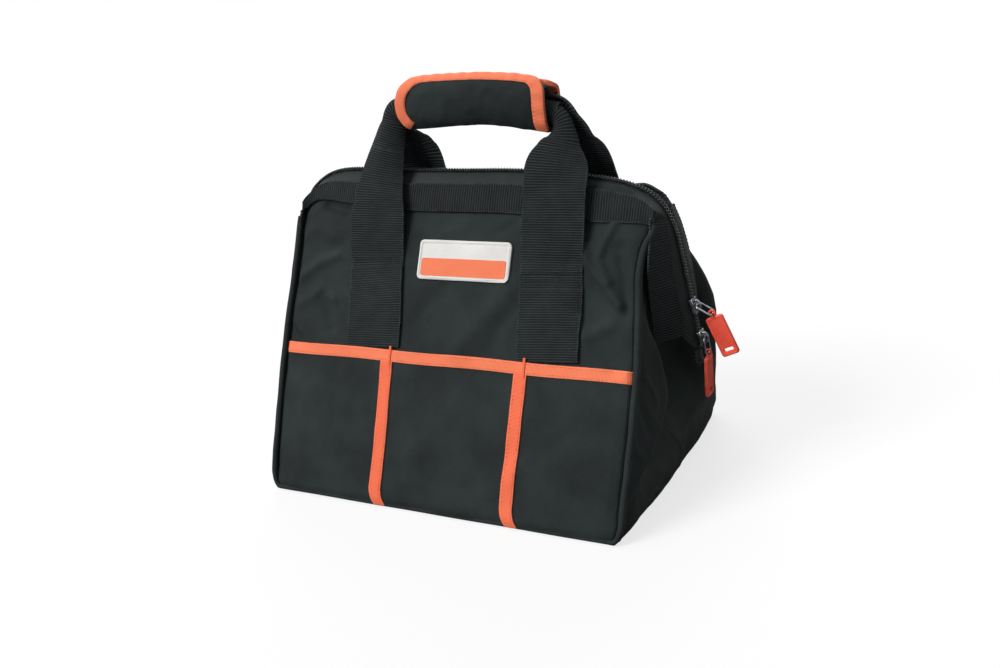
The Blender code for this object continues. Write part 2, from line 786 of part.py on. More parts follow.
def make_side_band(name, side_points, corner_points, sign, face):
    """One half of the folded band: a sheet from the zip's line back into the side's fold."""
    sideways = Vector((-math.cos(side_band_angle), face * math.sin(side_band_angle), 0))
    downward = Vector((0, face * math.sin(corner_band_angle), -math.cos(corner_band_angle)))
    stop = panel_half - gusset_inset - gusset_sheet + clearance
    line = side_points + corner_points
    widest = [side_band_width, side_band_width, side_band_top_width]
    shape = bmesh.new()
    rings = []
    for index, point in enumerate(line):
        turned = max(index - len(side_points) + 1, 0) / len(corner_points)
        run = sideways.lerp(downward, turned).normalized()
        before, after = line[max(index - 1, 0)], line[min(index + 1, len(line) - 1)]
        tangent = Vector((after.x - before.x, 0, after.y - before.y)).normalized()
        across = tangent.cross(run).normalized() * -face
        inward = Vector((-tangent.z, 0, tangent.x))
        tip = Vector((point.x, 0, point.y)) + inward * side_chain_half_depth
        tip += run * (side_band_tip_gap * (1 - turned) + side_band_thickness * turned + clearance)
        width = side_band_top_width
        if index < len(widest):
            width = min(widest[index], (tip.x - stop) / -run.x)
        end = tip + run * (width - side_band_tip_gap)
        lift = across * side_band_thickness
        corners = [tip, end, end + lift, tip + lift]
        rings.append([shape.verts.new((sign * p.x, p.y, p.z)) for p in corners])
    for lower, upper in zip(rings, rings[1:]):
        for index in range(4):
            after = (index + 1) % 4
            shape.faces.new((lower[index], lower[after], upper[after], upper[index]))
    shape.faces.new(rings[0])
    shape.faces.new(rings[-1])
    finish_object(name, shape, WEBBING)


def make_slider(word):
    """A slider on the right side's zip, with its pull ring and its rubber tab."""
    frame = side_frame(f"slider_{word}_seat", slider_heights[word], 1)
    face = side_chain_half_depth + clearance
    top = face + slider_plate
    outline = rectangle(face, top, -slider_half_length, slider_half_length)
    shape = prism(outline, "y", -slider_half_width, slider_half_width)
    plate = finish_object(f"slider_{word}", shape, GUNMETAL, frame)
    hole = bridge_hole_half_length
    path = [
        (top - slider_plate / 2, -hole),
        (top + bridge_hole_depth, -hole),
        (top + bridge_hole_depth, hole),
        (top - slider_plate / 2, hole),
    ]
    shape = prism(ribbon(path, -bridge_bar), "y", -bridge_half_width, bridge_half_width)
    join(plate, finish_object(f"slider_{word}_bridge", shape, GUNMETAL, frame))

    pin_out = top + bridge_hole_depth / 2
    pin = frame.matrix_local @ Vector((pin_out, 0, 0))
    tilt = ring_tilts[word]
    ring = empty(
        f"pull_ring_{word}_pin", Matrix.Translation(pin) @ Matrix.Rotation(-tilt, 4, "Y")
    )
    points = [
        (0, -ring_half_width, 0),
        (0, ring_half_width, 0),
        (0, ring_half_width, -ring_length),
        (0, -ring_half_width, -ring_length),
    ]
    made = tube(f"pull_ring_{word}", points, ring_wire_radius, GUNMETAL, ring, closed=True)
    made.data.bevel_resolution = 1

    end = pin + Vector((math.sin(tilt), 0, -math.cos(tilt))) * ring_length
    lean = Matrix.Rotation(-tab_tilts[word], 4, "Y")
    make_tab(word, empty(f"pull_tab_{word}_pin", Matrix.Translation(end) @ lean))


def make_tab(word, frame):
    """A rubber tab that hangs from an eye on the ring, with a slot near its end."""
    half = tab_width / 2
    bottom = -tab_eye_radius - tab_length
    neck = -tab_eye_radius
    radius = tab_corner_radius
    outline = rectangle(-half, half, bottom, neck, radius, radius)
    across = "y" if tab_across[word] == "x" else "x"
    shape = prism(outline, across, -tab_thickness / 2, tab_thickness / 2)
    tab = finish_object(f"pull_tab_{word}", shape, RUBBER, frame)

    circle = [
        (
            tab_eye_radius * math.cos(2 * math.pi * step / round_steps),
            tab_eye_radius * math.sin(2 * math.pi * step / round_steps),
        )
        for step in range(round_steps)
    ]
    shape = prism(circle, "y", -tab_eye_half_width, tab_eye_half_width)
    eye = finish_object(f"pull_tab_{word}_eye", shape, RUBBER, frame)
    neck_outline = rectangle(-tab_eye_radius, tab_eye_radius, 2 * neck, neck / 2)
    shape = prism(neck_outline, "y", -tab_eye_half_width, tab_eye_half_width)
    stem = finish_object(f"pull_tab_{word}_stem", shape, RUBBER, frame)
    join(tab, eye, stem)

    hole = [(a * tab_eye_hole / tab_eye_radius, b * tab_eye_hole / tab_eye_radius) for a, b in circle]
    reach = tab_eye_half_width + cutter_overrun
    bore = finish_object(f"pull_tab_{word}_bore", prism(hole, "y", -reach, reach), RUBBER, frame)
    slot_bottom = bottom + tab_slot_rise
    slot = rectangle(
        -tab_slot_length / 2, tab_slot_length / 2, slot_bottom, slot_bottom + tab_slot_height
    )
    reach = tab_thickness / 2 + cutter_overrun
    shape = prism(slot, across, -reach, reach)
    cut(tab, bore, finish_object(f"pull_tab_{word}_slot", shape, RUBBER, frame))


def main():
    clear_scene()
    make_base()
    make_gusset_centers()
    front_sides = (("left", -1), ("right", 1))
    back_sides = (("left", 1), ("right", -1))
    front = wall_frame("front_wall_hinge", 0)
    back = wall_frame("back_wall_hinge", math.pi)
    for word, frame, bow, sides in (
        ("front", front, front_bow, front_sides),
        ("back", back, back_bow, back_sides),
    ):
        make_wall_layers(word, frame, bow)
        make_piping(word, frame, bow, sides)
        make_band_and_zip(word, frame, bow)
        make_wall_gussets(word, frame, bow, sides)
    strap_foot = pocket_height + clearance
    make_sewn_straps("front", front, front_bow, strap_foot, front_sides, 0)
    make_sewn_straps("back", back, back_bow, seam_rise, back_sides, -back_strap_shift)
    make_pockets(front)
    make_label(front)
    make_legs("front", 0, front_sides, 0, grip_shift)
    make_legs("back", math.pi, back_sides, -back_strap_shift, -grip_shift)
    make_grip()
    make_flap()
    make_side_zips()
    make_slider("upper")
    make_slider("lower")


main()
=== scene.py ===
# %% [markdown]
# # A soft tool bag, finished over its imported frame
#
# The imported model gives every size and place. This script covers it with soft surfaces. Cloth
# walls have folds, the webbing has ribs, the edging is sewn on, and the zip has real coils.
# Lengths in the script are in millimetres until a mesh is made. X runs to the right as seen
# from the front, Y to the back and Z up.

# %%
import json
import math

import bmesh
import bpy
import numpy as np
from mathutils import Matrix, Vector, noise
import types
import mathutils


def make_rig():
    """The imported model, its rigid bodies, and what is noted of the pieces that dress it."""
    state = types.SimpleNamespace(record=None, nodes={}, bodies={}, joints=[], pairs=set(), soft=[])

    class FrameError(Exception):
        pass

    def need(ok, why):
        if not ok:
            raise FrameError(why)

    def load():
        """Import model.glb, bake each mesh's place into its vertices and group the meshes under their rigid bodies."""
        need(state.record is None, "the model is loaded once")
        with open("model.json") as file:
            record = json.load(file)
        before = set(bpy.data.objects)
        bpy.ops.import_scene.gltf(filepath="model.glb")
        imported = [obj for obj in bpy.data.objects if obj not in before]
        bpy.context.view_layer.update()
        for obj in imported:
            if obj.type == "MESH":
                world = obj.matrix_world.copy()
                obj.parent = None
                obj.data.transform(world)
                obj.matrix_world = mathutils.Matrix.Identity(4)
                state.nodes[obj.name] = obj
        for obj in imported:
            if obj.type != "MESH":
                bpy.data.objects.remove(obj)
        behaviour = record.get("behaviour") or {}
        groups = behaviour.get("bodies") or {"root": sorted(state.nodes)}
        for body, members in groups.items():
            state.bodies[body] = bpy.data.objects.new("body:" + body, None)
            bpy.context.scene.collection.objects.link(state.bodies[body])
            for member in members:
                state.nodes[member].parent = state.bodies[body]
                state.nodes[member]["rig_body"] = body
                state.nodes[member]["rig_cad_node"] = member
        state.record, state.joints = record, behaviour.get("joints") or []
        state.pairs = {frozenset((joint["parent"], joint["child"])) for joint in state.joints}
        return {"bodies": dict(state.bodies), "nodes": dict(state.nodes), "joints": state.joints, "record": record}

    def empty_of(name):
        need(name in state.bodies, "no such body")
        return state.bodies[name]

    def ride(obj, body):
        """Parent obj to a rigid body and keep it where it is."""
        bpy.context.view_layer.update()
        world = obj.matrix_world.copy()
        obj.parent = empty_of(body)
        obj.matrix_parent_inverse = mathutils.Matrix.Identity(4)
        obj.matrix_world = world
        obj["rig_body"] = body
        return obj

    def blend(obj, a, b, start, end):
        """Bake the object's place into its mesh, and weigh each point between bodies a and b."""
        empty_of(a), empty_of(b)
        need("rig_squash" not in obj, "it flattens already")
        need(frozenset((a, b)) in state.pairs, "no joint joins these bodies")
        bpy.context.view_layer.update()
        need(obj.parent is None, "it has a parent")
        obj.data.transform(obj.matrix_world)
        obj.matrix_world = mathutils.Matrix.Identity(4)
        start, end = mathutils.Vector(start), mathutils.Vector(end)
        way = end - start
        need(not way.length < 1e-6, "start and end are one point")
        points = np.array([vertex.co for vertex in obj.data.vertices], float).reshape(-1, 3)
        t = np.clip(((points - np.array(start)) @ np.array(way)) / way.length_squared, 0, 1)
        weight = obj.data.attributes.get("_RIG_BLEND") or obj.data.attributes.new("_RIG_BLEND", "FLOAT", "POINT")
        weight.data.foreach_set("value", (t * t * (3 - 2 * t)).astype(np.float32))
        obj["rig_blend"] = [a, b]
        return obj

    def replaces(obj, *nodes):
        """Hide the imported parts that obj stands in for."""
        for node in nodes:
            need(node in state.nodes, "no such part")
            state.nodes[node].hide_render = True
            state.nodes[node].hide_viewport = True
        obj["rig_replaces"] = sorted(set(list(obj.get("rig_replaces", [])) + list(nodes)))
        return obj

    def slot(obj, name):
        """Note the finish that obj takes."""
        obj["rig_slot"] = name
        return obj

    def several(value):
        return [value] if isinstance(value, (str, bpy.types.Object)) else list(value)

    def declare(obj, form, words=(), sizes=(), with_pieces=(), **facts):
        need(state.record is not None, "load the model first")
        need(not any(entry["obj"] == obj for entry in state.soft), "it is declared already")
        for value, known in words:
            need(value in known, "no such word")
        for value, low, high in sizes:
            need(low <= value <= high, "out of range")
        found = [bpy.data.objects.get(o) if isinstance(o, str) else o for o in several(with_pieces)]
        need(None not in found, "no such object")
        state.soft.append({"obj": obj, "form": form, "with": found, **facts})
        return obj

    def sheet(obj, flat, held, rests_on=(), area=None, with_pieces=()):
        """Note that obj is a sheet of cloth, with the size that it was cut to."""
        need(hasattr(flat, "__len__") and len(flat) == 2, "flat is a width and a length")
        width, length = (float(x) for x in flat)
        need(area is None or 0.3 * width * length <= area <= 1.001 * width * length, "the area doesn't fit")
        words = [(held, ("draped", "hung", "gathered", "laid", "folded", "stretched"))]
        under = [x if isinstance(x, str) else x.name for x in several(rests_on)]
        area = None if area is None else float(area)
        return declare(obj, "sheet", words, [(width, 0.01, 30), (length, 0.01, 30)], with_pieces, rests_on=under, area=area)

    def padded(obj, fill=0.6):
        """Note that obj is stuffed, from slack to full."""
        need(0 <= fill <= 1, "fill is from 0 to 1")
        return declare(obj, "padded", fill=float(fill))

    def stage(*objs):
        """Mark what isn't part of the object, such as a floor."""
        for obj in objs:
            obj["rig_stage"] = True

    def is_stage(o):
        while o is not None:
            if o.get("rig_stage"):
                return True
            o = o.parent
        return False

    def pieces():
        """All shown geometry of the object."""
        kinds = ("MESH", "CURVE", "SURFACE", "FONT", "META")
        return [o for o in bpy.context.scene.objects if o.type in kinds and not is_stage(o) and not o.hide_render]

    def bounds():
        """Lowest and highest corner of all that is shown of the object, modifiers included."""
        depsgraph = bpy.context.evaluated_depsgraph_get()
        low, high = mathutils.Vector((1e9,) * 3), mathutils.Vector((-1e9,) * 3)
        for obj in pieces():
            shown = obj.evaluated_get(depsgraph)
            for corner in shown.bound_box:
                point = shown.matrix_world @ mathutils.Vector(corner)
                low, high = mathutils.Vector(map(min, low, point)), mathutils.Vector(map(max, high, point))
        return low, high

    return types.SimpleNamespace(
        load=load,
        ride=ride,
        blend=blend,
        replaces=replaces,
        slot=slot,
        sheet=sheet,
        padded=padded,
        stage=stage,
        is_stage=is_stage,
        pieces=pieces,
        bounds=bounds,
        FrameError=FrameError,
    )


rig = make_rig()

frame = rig.load()
cad_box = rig.bounds()

MM = 0.001
HALF_DEPTH = 114.0  # from the middle to the wall's seam at the base
HALF_MOUTH = 7.2  # from the middle to the wall's top
SLANT = 250.0  # from the seam to the top of the band
LEAN = math.asin((HALF_DEPTH - HALF_MOUTH) / SLANT)
SIN, COS = math.sin(LEAN), math.cos(LEAN)
FRONT, BACK = -1, 1
WORDS = {FRONT: "front", BACK: "back"}

# %% [markdown]
# ## Curves and surfaces
#
# A surface is a grid of points in an array. Few given points are joined by smooth curves.


# %%
def floats(*values):
    """Arrays of floats, broadcast to one shape."""
    return np.broadcast_arrays(*(np.asarray(value, float) for value in values))


def stacked(*parts):
    """The parts, broadcast to one shape, as the last axis of one array."""
    return np.stack(np.broadcast_arrays(*parts), -1)


def unit(vectors):
    """The same directions with a length of 1."""
    return vectors / np.maximum(np.linalg.norm(vectors, axis=-1, keepdims=True), 1e-9)


def tangents(path):
    return unit(np.gradient(path, axis=0))


def normals(grid):
    return unit(np.cross(np.gradient(grid, axis=0), np.gradient(grid, axis=1)))


def facing(grid, rows, toward):
    """The grid's normals, turned so that those of the given rows look in a direction."""
    out = normals(grid)
    return out if np.mean(out[rows] @ np.asarray(toward, float)) > 0 else -out


def eased(low, count, bend=1.45):
    """Numbers from low to 1 that lie closer together toward -1 and 1."""
    return np.sin(np.linspace(low, 1, count) * bend) / math.sin(bend)


def spline(points, count):
    """A smooth curve through the points, cut into count points."""
    points = np.asarray(points, float)
    last = len(points) - 1
    ends = np.vstack([2 * points[0] - points[1], points, 2 * points[-1] - points[-2]])
    at = np.linspace(0, last, count)
    first = np.minimum(at.astype(int), last - 1)
    t = (at - first)[:, None]
    a, b, c, d = (ends[first + k] for k in range(4))
    return 0.5 * (2 * b + (c - a) * t + (2 * a - 5 * b + 4 * c - d) * t**2 + (3 * b - 3 * c + d - a) * t**3)


def length_along(points):
    steps = np.linalg.norm(np.diff(points, axis=0), axis=1)
    return np.concatenate([[0], np.cumsum(steps)])


def sampled(columns, run, at):
    """The points or directions of a curve at these lengths along it."""
    return np.stack([np.interp(at, run, column) for column in np.asarray(columns, float).T], -1)


def even(points, count):
    """The same curve with its points spaced evenly."""
    points = np.asarray(points, float)
    run = length_along(points[:, :3])
    return sampled(points, run, np.linspace(0, run[-1], count))


def net(rows, across, along):
    """A smooth surface through a coarse grid of points."""
    grid = np.asarray(rows, float)
    grid = spline(grid.reshape(len(grid), -1), along).reshape(along, -1, 3)
    turned = grid.transpose(1, 0, 2)
    return spline(turned.reshape(len(turned), -1), across).reshape(across, along, 3)


def smooth_line(xs, ys):
    """A function that passes smoothly through the given values."""
    curve = spline(np.stack([xs, ys], 1), 40 * len(xs))
    return lambda x: np.interp(x, curve[:, 0], curve[:, 1])


def rough(points, size, seed=0.0):
    """Smooth noise from about -1 to 1 over an array of points, with lumps of this size."""
    flat = np.asarray(points, float).reshape(-1, 3) / size + seed
    return np.array([noise.noise(p) for p in flat]).reshape(np.shape(points)[:-1]) * 1.6


def fold(u, v, path, width, height):
    """A soft ridge or, with a negative height, a soft valley along a path on the wall."""
    best = np.full(np.shape(u), 1e9)
    for (au, av), (bu, bv) in zip(path, path[1:]):
        du, dv = bu - au, bv - av
        t = np.clip(((u - au) * du + (v - av) * dv) / (du * du + dv * dv), 0, 1)
        best = np.minimum(best, np.hypot(u - au - t * du, v - av - t * dv))
    return height * np.exp(-((best / width) ** 2))


def round_box(half_a, low_b, high_b, radius, steps=5):
    """The corners of a box, each rounded by an arc of points."""
    ring = []
    corners = ((half_a, high_b, 0), (-half_a, high_b, 90), (-half_a, low_b, 180), (half_a, low_b, 270))
    for a, b, start in corners:
        middle_a = a - math.copysign(radius, a)
        middle_b = b - radius if b == high_b else b + radius
        for step in range(steps + 1):
            turn = math.radians(start + 90 * step / steps)
            ring.append((middle_a + radius * math.cos(turn), middle_b + radius * math.sin(turn)))
    return ring


def sewn_box(half_a, low_b, high_b, radius):
    """The same as a closed line for stitches."""
    ring = round_box(half_a, low_b, high_b, radius, 6)
    return np.array(ring + ring[:1])


def patch_grid(low_u, high_u, low_v, high_v, radius, rows, columns):
    """A rectangle with round corners as a grid that is squeezed at its corners."""
    half_u, half_v = (high_u - low_u) / 2, (high_v - low_v) / 2
    a, b = eased(-1, columns)[None], eased(-1, rows)[:, None]
    v = b * half_v + 0 * a
    over = np.maximum(np.abs(v) - (half_v - radius), 0)
    u = a * (half_u - radius + np.sqrt(np.maximum(radius**2 - over**2, 0)))
    return u + (low_u + high_u) / 2, v + (low_v + high_v) / 2


# %% [markdown]
# ## Pieces
#
# Each piece is one closed mesh, in metres, with a map in metres for its weave. A part is a
# tuple of points, faces and map, all in millimetres.


# %%
def piece(name, part, look, flat_angle):
    """A mesh object from a part, smooth where faces meet at less than the angle."""
    points, faces, uv = part
    mesh = bpy.data.meshes.new(name)
    mesh.from_pydata((np.asarray(points) * MM).tolist(), [], [tuple(map(int, f)) for f in faces])
    shape = bmesh.new()
    shape.from_mesh(mesh)
    bmesh.ops.recalc_face_normals(shape, faces=shape.faces)
    shape.to_mesh(mesh)
    shape.free()
    layer = mesh.uv_layers.new(name="UVMap")
    corner = np.zeros(len(mesh.loops), int)
    mesh.loops.foreach_get("vertex_index", corner)
    layer.data.foreach_set("uv", (np.asarray(uv, float)[corner] * MM).ravel())
    mesh.polygons.foreach_set("use_smooth", [True] * len(mesh.polygons))
    mesh.set_sharp_from_angle(angle=math.radians(flat_angle))
    made = bpy.data.objects.new(name, mesh)
    bpy.context.collection.objects.link(made)
    mesh.materials.append(look)
    return made


def make(name, part, look, body, *nodes, flat_angle=50):
    """A piece that rides on a body, if one is given, and stands for these CAD nodes."""
    made = piece(name, part, look, flat_angle)
    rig.slot(made, SLOTS.get(look.name, look.name))
    if body is not None:
        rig.ride(made, body)
    if nodes:
        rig.replaces(made, *nodes)
    return made


def join_parts(parts):
    """Points, faces and maps of several parts as one."""
    points, faces, maps, start = [], [], [], 0
    for p, f, m in parts:
        points.append(np.asarray(p, float).reshape(-1, 3))
        faces += [tuple(i + start for i in face) for face in f]
        maps.append(np.asarray(m, float).reshape(-1, 2))
        start += len(points[-1])
    return np.vstack(points), faces, np.vstack(maps)


def sheet_part(outer, inner, uv):
    """A closed sheet between an outer and an inner grid."""
    rows, columns = outer.shape[:2]
    count = rows * columns
    index = np.arange(count).reshape(rows, columns)
    top = np.stack([index[:-1, :-1], index[1:, :-1], index[1:, 1:], index[:-1, 1:]], -1).reshape(-1, 4)
    ring = np.concatenate([index[:, 0], index[-1, 1:], index[-2::-1, -1], index[0, -2:0:-1]])
    after = np.roll(ring, -1)
    rim = np.stack([after, ring, ring + count, after + count], 1)
    faces = np.vstack([top, top[:, ::-1] + count, rim]).tolist()
    flat = uv.reshape(-1, 2)
    points = np.vstack([outer.reshape(-1, 3), inner.reshape(-1, 3)])
    return points, faces, np.vstack([flat, flat])


def ring_points(path, side, other, radius, sides):
    """Points round a path, with one ring at each of its points, and the angle of each."""
    angle = np.linspace(0, 2 * math.pi, sides, endpoint=False)[None, :, None]
    points = path[:, None] + radius * (side[:, None] * np.cos(angle) + other[:, None] * np.sin(angle))
    return points, angle[..., 0]


def tube_part(path, radius, sides=10, up=(0, 1, 0), flatten=1.0):
    """A round tube along a path, closed at both ends."""
    path = np.asarray(path, float)
    radius = np.broadcast_to(np.asarray(radius, float), len(path))
    tangent = tangents(path)
    side = unit(np.cross(tangent, np.asarray(up, float)))
    other = flatten * np.cross(side, tangent)
    points, angle = ring_points(path, side, other, radius[:, None, None], sides)
    uv = stacked(angle * radius.mean(), length_along(path)[:, None])
    index = np.arange(len(path) * sides).reshape(len(path), sides)
    ahead = np.roll(index, -1, 1)
    faces = np.stack([index[:-1], ahead[:-1], ahead[1:], index[1:]], -1).reshape(-1, 4).tolist()
    faces += [index[0].tolist(), index[-1].tolist()[::-1]]
    return points.reshape(-1, 3), faces, uv.reshape(-1, 2)


def loop_part(path, radius, sides=10):
    """A closed ring of round wire."""
    path = np.asarray(path, float)
    tangent = unit(np.roll(path, -1, 0) - np.roll(path, 1, 0))
    middle = path.mean(0)
    flat = unit(np.cross(path[0] - middle, path[len(path) // 4] - middle))
    other = np.broadcast_to(flat, path.shape)
    points, angle = ring_points(path, np.cross(tangent, flat), other, radius, sides)
    index = np.arange(len(path) * sides).reshape(len(path), sides)
    ahead, up = np.roll(index, -1, 1), np.roll(index, -1, 0)
    faces = np.stack([index, ahead, np.roll(ahead, -1, 0), up], -1).reshape(-1, 4).tolist()
    uv = stacked(angle * radius, length_along(path)[:, None])
    return points.reshape(-1, 3), faces, uv.reshape(-1, 2)


def grain_faces(start):
    """The faces of one stitch: a point, two rings of six and a point."""
    faces = []
    for k in range(6):
        n = (k + 1) % 6
        faces += [
            (start, start + 1 + n, start + 1 + k),
            (start + 1 + k, start + 1 + n, start + 7 + n, start + 7 + k),
            (start + 7 + k, start + 7 + n, start + 13),
        ]
    return faces


def stitch_part(path, lift, pitch=3.2, length=2.3, width=0.42):
    """A row of sewn stitches along a path, each a small grain that lies on the surface."""
    path = np.asarray(path, float)
    run = length_along(path)
    count = max(int(run[-1] / pitch), 1)
    at = (np.arange(count) + 0.5) * run[-1] / count
    here = sampled(path, run, at)
    along = unit(sampled(path, run, at + 0.4) - sampled(path, run, at - 0.4))
    lift = np.asarray(lift, float)
    if lift.ndim == 2:
        lift = sampled(lift, run, at)
    side = unit(np.cross(along, lift))
    out = np.cross(side, along)
    rings, _ = ring_points(0 * here, side, out * 0.8, width, 6)
    half = along[:, None] * length / 2
    waist = along[:, None] * length * 0.28
    spots = here[:, None]
    points = np.concatenate([spots - half, spots - waist + rings, spots + waist + rings, spots + half], 1)
    faces = [face for k in range(count) for face in grain_faces(14 * k)]
    return points.reshape(-1, 3), faces, np.zeros((14 * count, 2))


# %% [markdown]
# ## Materials
#
# Colours are given as seen on screen and turned into linear light by one function. Weave and
# rib sizes are in millimetres.


# %%
def colour(code):
    """A screen colour such as 2b3030 as linear light."""
    parts = [int(code[k : k + 2], 16) / 255 for k in (0, 2, 4)]
    return [c / 12.92 if c <= 0.04045 else ((c + 0.055) / 1.055) ** 2.4 for c in parts] + [1.0]


def add(tree, kind, inputs=None, **settings):
    """One more node, with its inputs linked or set."""
    node = tree.nodes.new(kind)
    for key, value in settings.items():
        setattr(node, key, value)
    for key, value in (inputs or {}).items():
        if isinstance(value, bpy.types.NodeSocket):
            tree.links.new(value, node.inputs[key])
        else:
            node.inputs[key].default_value = value
    return node


def start_look(name, roughness, metallic=0.0, sheen=0.0, specular=0.5):
    look = bpy.data.materials.get(name)
    if look is None:
        look = bpy.data.materials.new(name)
    else:
        look = look.copy()
        bpy.data.materials[name].name = name + "_cad"
        look.name = name
    look.use_nodes = True
    tree = look.node_tree
    tree.nodes.clear()
    shader = add(tree, "ShaderNodeBsdfPrincipled")
    shader.inputs["Roughness"].default_value = roughness
    shader.inputs["Metallic"].default_value = metallic
    shader.inputs["Sheen Weight"].default_value = sheen
    shader.inputs["Sheen Roughness"].default_value = 0.45
    shader.inputs["Specular IOR Level"].default_value = specular
    out = add(tree, "ShaderNodeOutputMaterial")
    tree.links.new(shader.outputs[0], out.inputs["Surface"])
    return look, tree, shader


def wave(tree, vector, pitch, direction, distortion=0.0):
    node = add(
        tree,
        "ShaderNodeTexWave",
        {"Vector": vector, "Scale": 0.31416 / (pitch * MM), "Distortion": distortion, "Detail": 1.0},
        wave_type="BANDS",
        bands_direction=direction,
        wave_profile="SIN",
    )
    return node.outputs["Fac"]


def maths(tree, operation, a, b):
    return add(tree, "ShaderNodeMath", {0: a, 1: b}, operation=operation).outputs[0]


def mixed(tree, share, a, b):
    """Colour a where the share is 0 and b where it is 1."""
    node = add(tree, "ShaderNodeMix", {0: share}, data_type="RGBA")
    for place, value in ((6, a), (7, b)):
        if isinstance(value, bpy.types.NodeSocket):
            tree.links.new(value, node.inputs[place])
        else:
            node.inputs[place].default_value = value
    return node.outputs[2]


def times(tree, a, b):
    return maths(tree, "MULTIPLY", a, b)


def plus(tree, a, b):
    return maths(tree, "ADD", a, b)


def ranged(tree, value, **limits):
    """The value, mapped from the range From Min to From Max onto To Min to To Max."""
    inputs = {"Value": value} | {key.replace("_", " "): limit for key, limit in limits.items()}
    return add(tree, "ShaderNodeMapRange", inputs).outputs["Result"]


def cloudy(tree, size, detail=3.0, low=0.35, high=0.65):
    """Noise in space with lumps of this size, stretched to run from 0 to 1."""
    where = add(tree, "ShaderNodeTexCoord").outputs["Object"]
    grain = add(tree, "ShaderNodeTexNoise", {"Vector": where, "Scale": 1 / (size * MM), "Detail": detail})
    return ranged(tree, grain.outputs["Fac"], From_Min=low, From_Max=high)


def raised(tree, shader, height, distance, strength=1.0, under=None):
    """Relief from a height, on top of the relief under it."""
    inputs = {"Height": height, "Distance": distance * MM, "Strength": strength}
    if under is not None:
        inputs["Normal"] = under
    node = add(tree, "ShaderNodeBump", inputs)
    tree.links.new(node.outputs[0], shader.inputs["Normal"])
    return node.outputs[0]


def worn(tree, shader, base, edge, amount):
    """The base colour, with its raised edges rubbed lighter."""
    point = add(tree, "ShaderNodeNewGeometry").outputs["Pointiness"]
    high = ranged(tree, point, From_Min=0.53, From_Max=0.62)
    patchy = times(tree, high, cloudy(tree, 6.0))
    rubbed = mixed(tree, times(tree, patchy, amount), base, colour(edge))
    tree.links.new(rubbed, shader.inputs["Base Color"])


def uneven_gloss(tree, shader, value, low, high):
    tree.links.new(ranged(tree, value, To_Min=low, To_Max=high), shader.inputs["Roughness"])


def woven(name, dark, light, edge, pitch, roughness, sheen, depth=0.10, specular=0.4):
    """A plain weave: crossing yarns, uneven shade and rubbed edges."""
    look, tree, shader = start_look(name, roughness, sheen=sheen, specular=specular)
    uv = add(tree, "ShaderNodeTexCoord").outputs["UV"]
    warp = maths(tree, "SUBTRACT", wave(tree, uv, pitch, "X", 0.3), 0.5)
    weft = maths(tree, "SUBTRACT", wave(tree, uv, pitch * 1.12, "Y", 0.3), 0.5)
    height = plus(tree, times(tree, times(tree, warp, weft), 2.0), 0.5)
    fleck = cloudy(tree, 0.8, 2.0, 0.3, 0.7)
    shade = plus(tree, times(tree, cloudy(tree, 38.0), 0.55), times(tree, fleck, 0.45))
    base = mixed(tree, shade, colour(dark), colour(light))
    base = mixed(tree, times(tree, height, 0.25), base, colour(light))
    worn(tree, shader, base, edge, 0.5)
    uneven_gloss(tree, shader, fleck, roughness - 0.06, roughness + 0.08)
    soft = raised(tree, shader, cloudy(tree, 5.0, 4.0), 0.25, 0.25)
    raised(tree, shader, height, depth, 0.8, soft)
    return look


def ribbed(name, groove_shade, crown, edge, pitch, direction, roughness, depth, sheen, fine=0.9, sharp=4.5):
    """Webbing or tape: ribs one way, fine yarns the other way, and painted shade that darkens the grooves."""
    look, tree, shader = start_look(name, roughness, sheen=sheen, specular=0.14)
    uv = add(tree, "ShaderNodeTexCoord").outputs["UV"]
    rib = maths(tree, "POWER", wave(tree, uv, pitch, direction, 0.25), sharp)
    yarn = wave(tree, uv, fine, "X" if direction == "Y" else "Y", 0.4)
    height = plus(tree, rib, times(tree, yarn, 0.28))
    # Painted shade: the ribs' mask darkens the grooves toward the groove colour, with yarns and random tone mixed in.
    shade_and_tone = plus(tree, times(tree, rib, 0.86), times(tree, yarn, 0.06))
    shade_and_tone = plus(tree, shade_and_tone, times(tree, cloudy(tree, 14.0), 0.08))
    base = mixed(tree, shade_and_tone, colour(groove_shade), colour(crown))
    worn(tree, shader, base, edge, 0.6)
    soft = raised(tree, shader, cloudy(tree, 1.1, 2.0), 0.08, 0.3)
    raised(tree, shader, height, depth, 1.0, soft)
    return look


def plain(name, dark, light, edge, roughness, grain, depth, metallic=0.0, specular=0.5):
    """A moulded or plated surface with a fine grain, uneven gloss and rubbed edges."""
    look, tree, shader = start_look(name, roughness, metallic, specular=specular)
    base = mixed(tree, cloudy(tree, 7.0), colour(dark), colour(light))
    worn(tree, shader, base, edge, 0.8)
    uneven_gloss(tree, shader, cloudy(tree, 3.0), roughness - 0.07, roughness + 0.09)
    raised(tree, shader, cloudy(tree, grain, 3.0), depth, 0.5)
    return look


# Screen colours are the dark or groove, the light or crown, and the rubbed edge. In webbing and tape the groove colour
# is painted shade between the ribs.
CLOTH = woven("charcoal_polyester", "0c1010", "2a3232", "3e4747", 0.62, 0.62, 0.04, 0.16, specular=0.15)
TAPE = woven("black_zip_tape", "151919", "2a3030", "3d4445", 0.8, 0.62, 0.05, specular=0.18)
LINING = woven("black_lining", "08090a", "141617", "222526", 0.5, 0.5, 0.03, 0.05, specular=0.25)
LABEL = woven("white_label", "d6d5d1", "f0efec", "f6f5f3", 0.7, 0.6, 0.05, 0.08, specular=0.2)
FOAM = woven("grey_foam", "4c4c4c", "6a6a6a", "808080", 0.6, 0.85, 0.1, 0.05)
WEBBING = ribbed("black_webbing", "000000", "454e51", "525b5e", 1.78, "Y", 0.66, 0.5, 0.02)
BANDING = ribbed("black_webbing_band", "000000", "434b4e", "525b5e", 2.0, "X", 0.66, 0.5, 0.02)
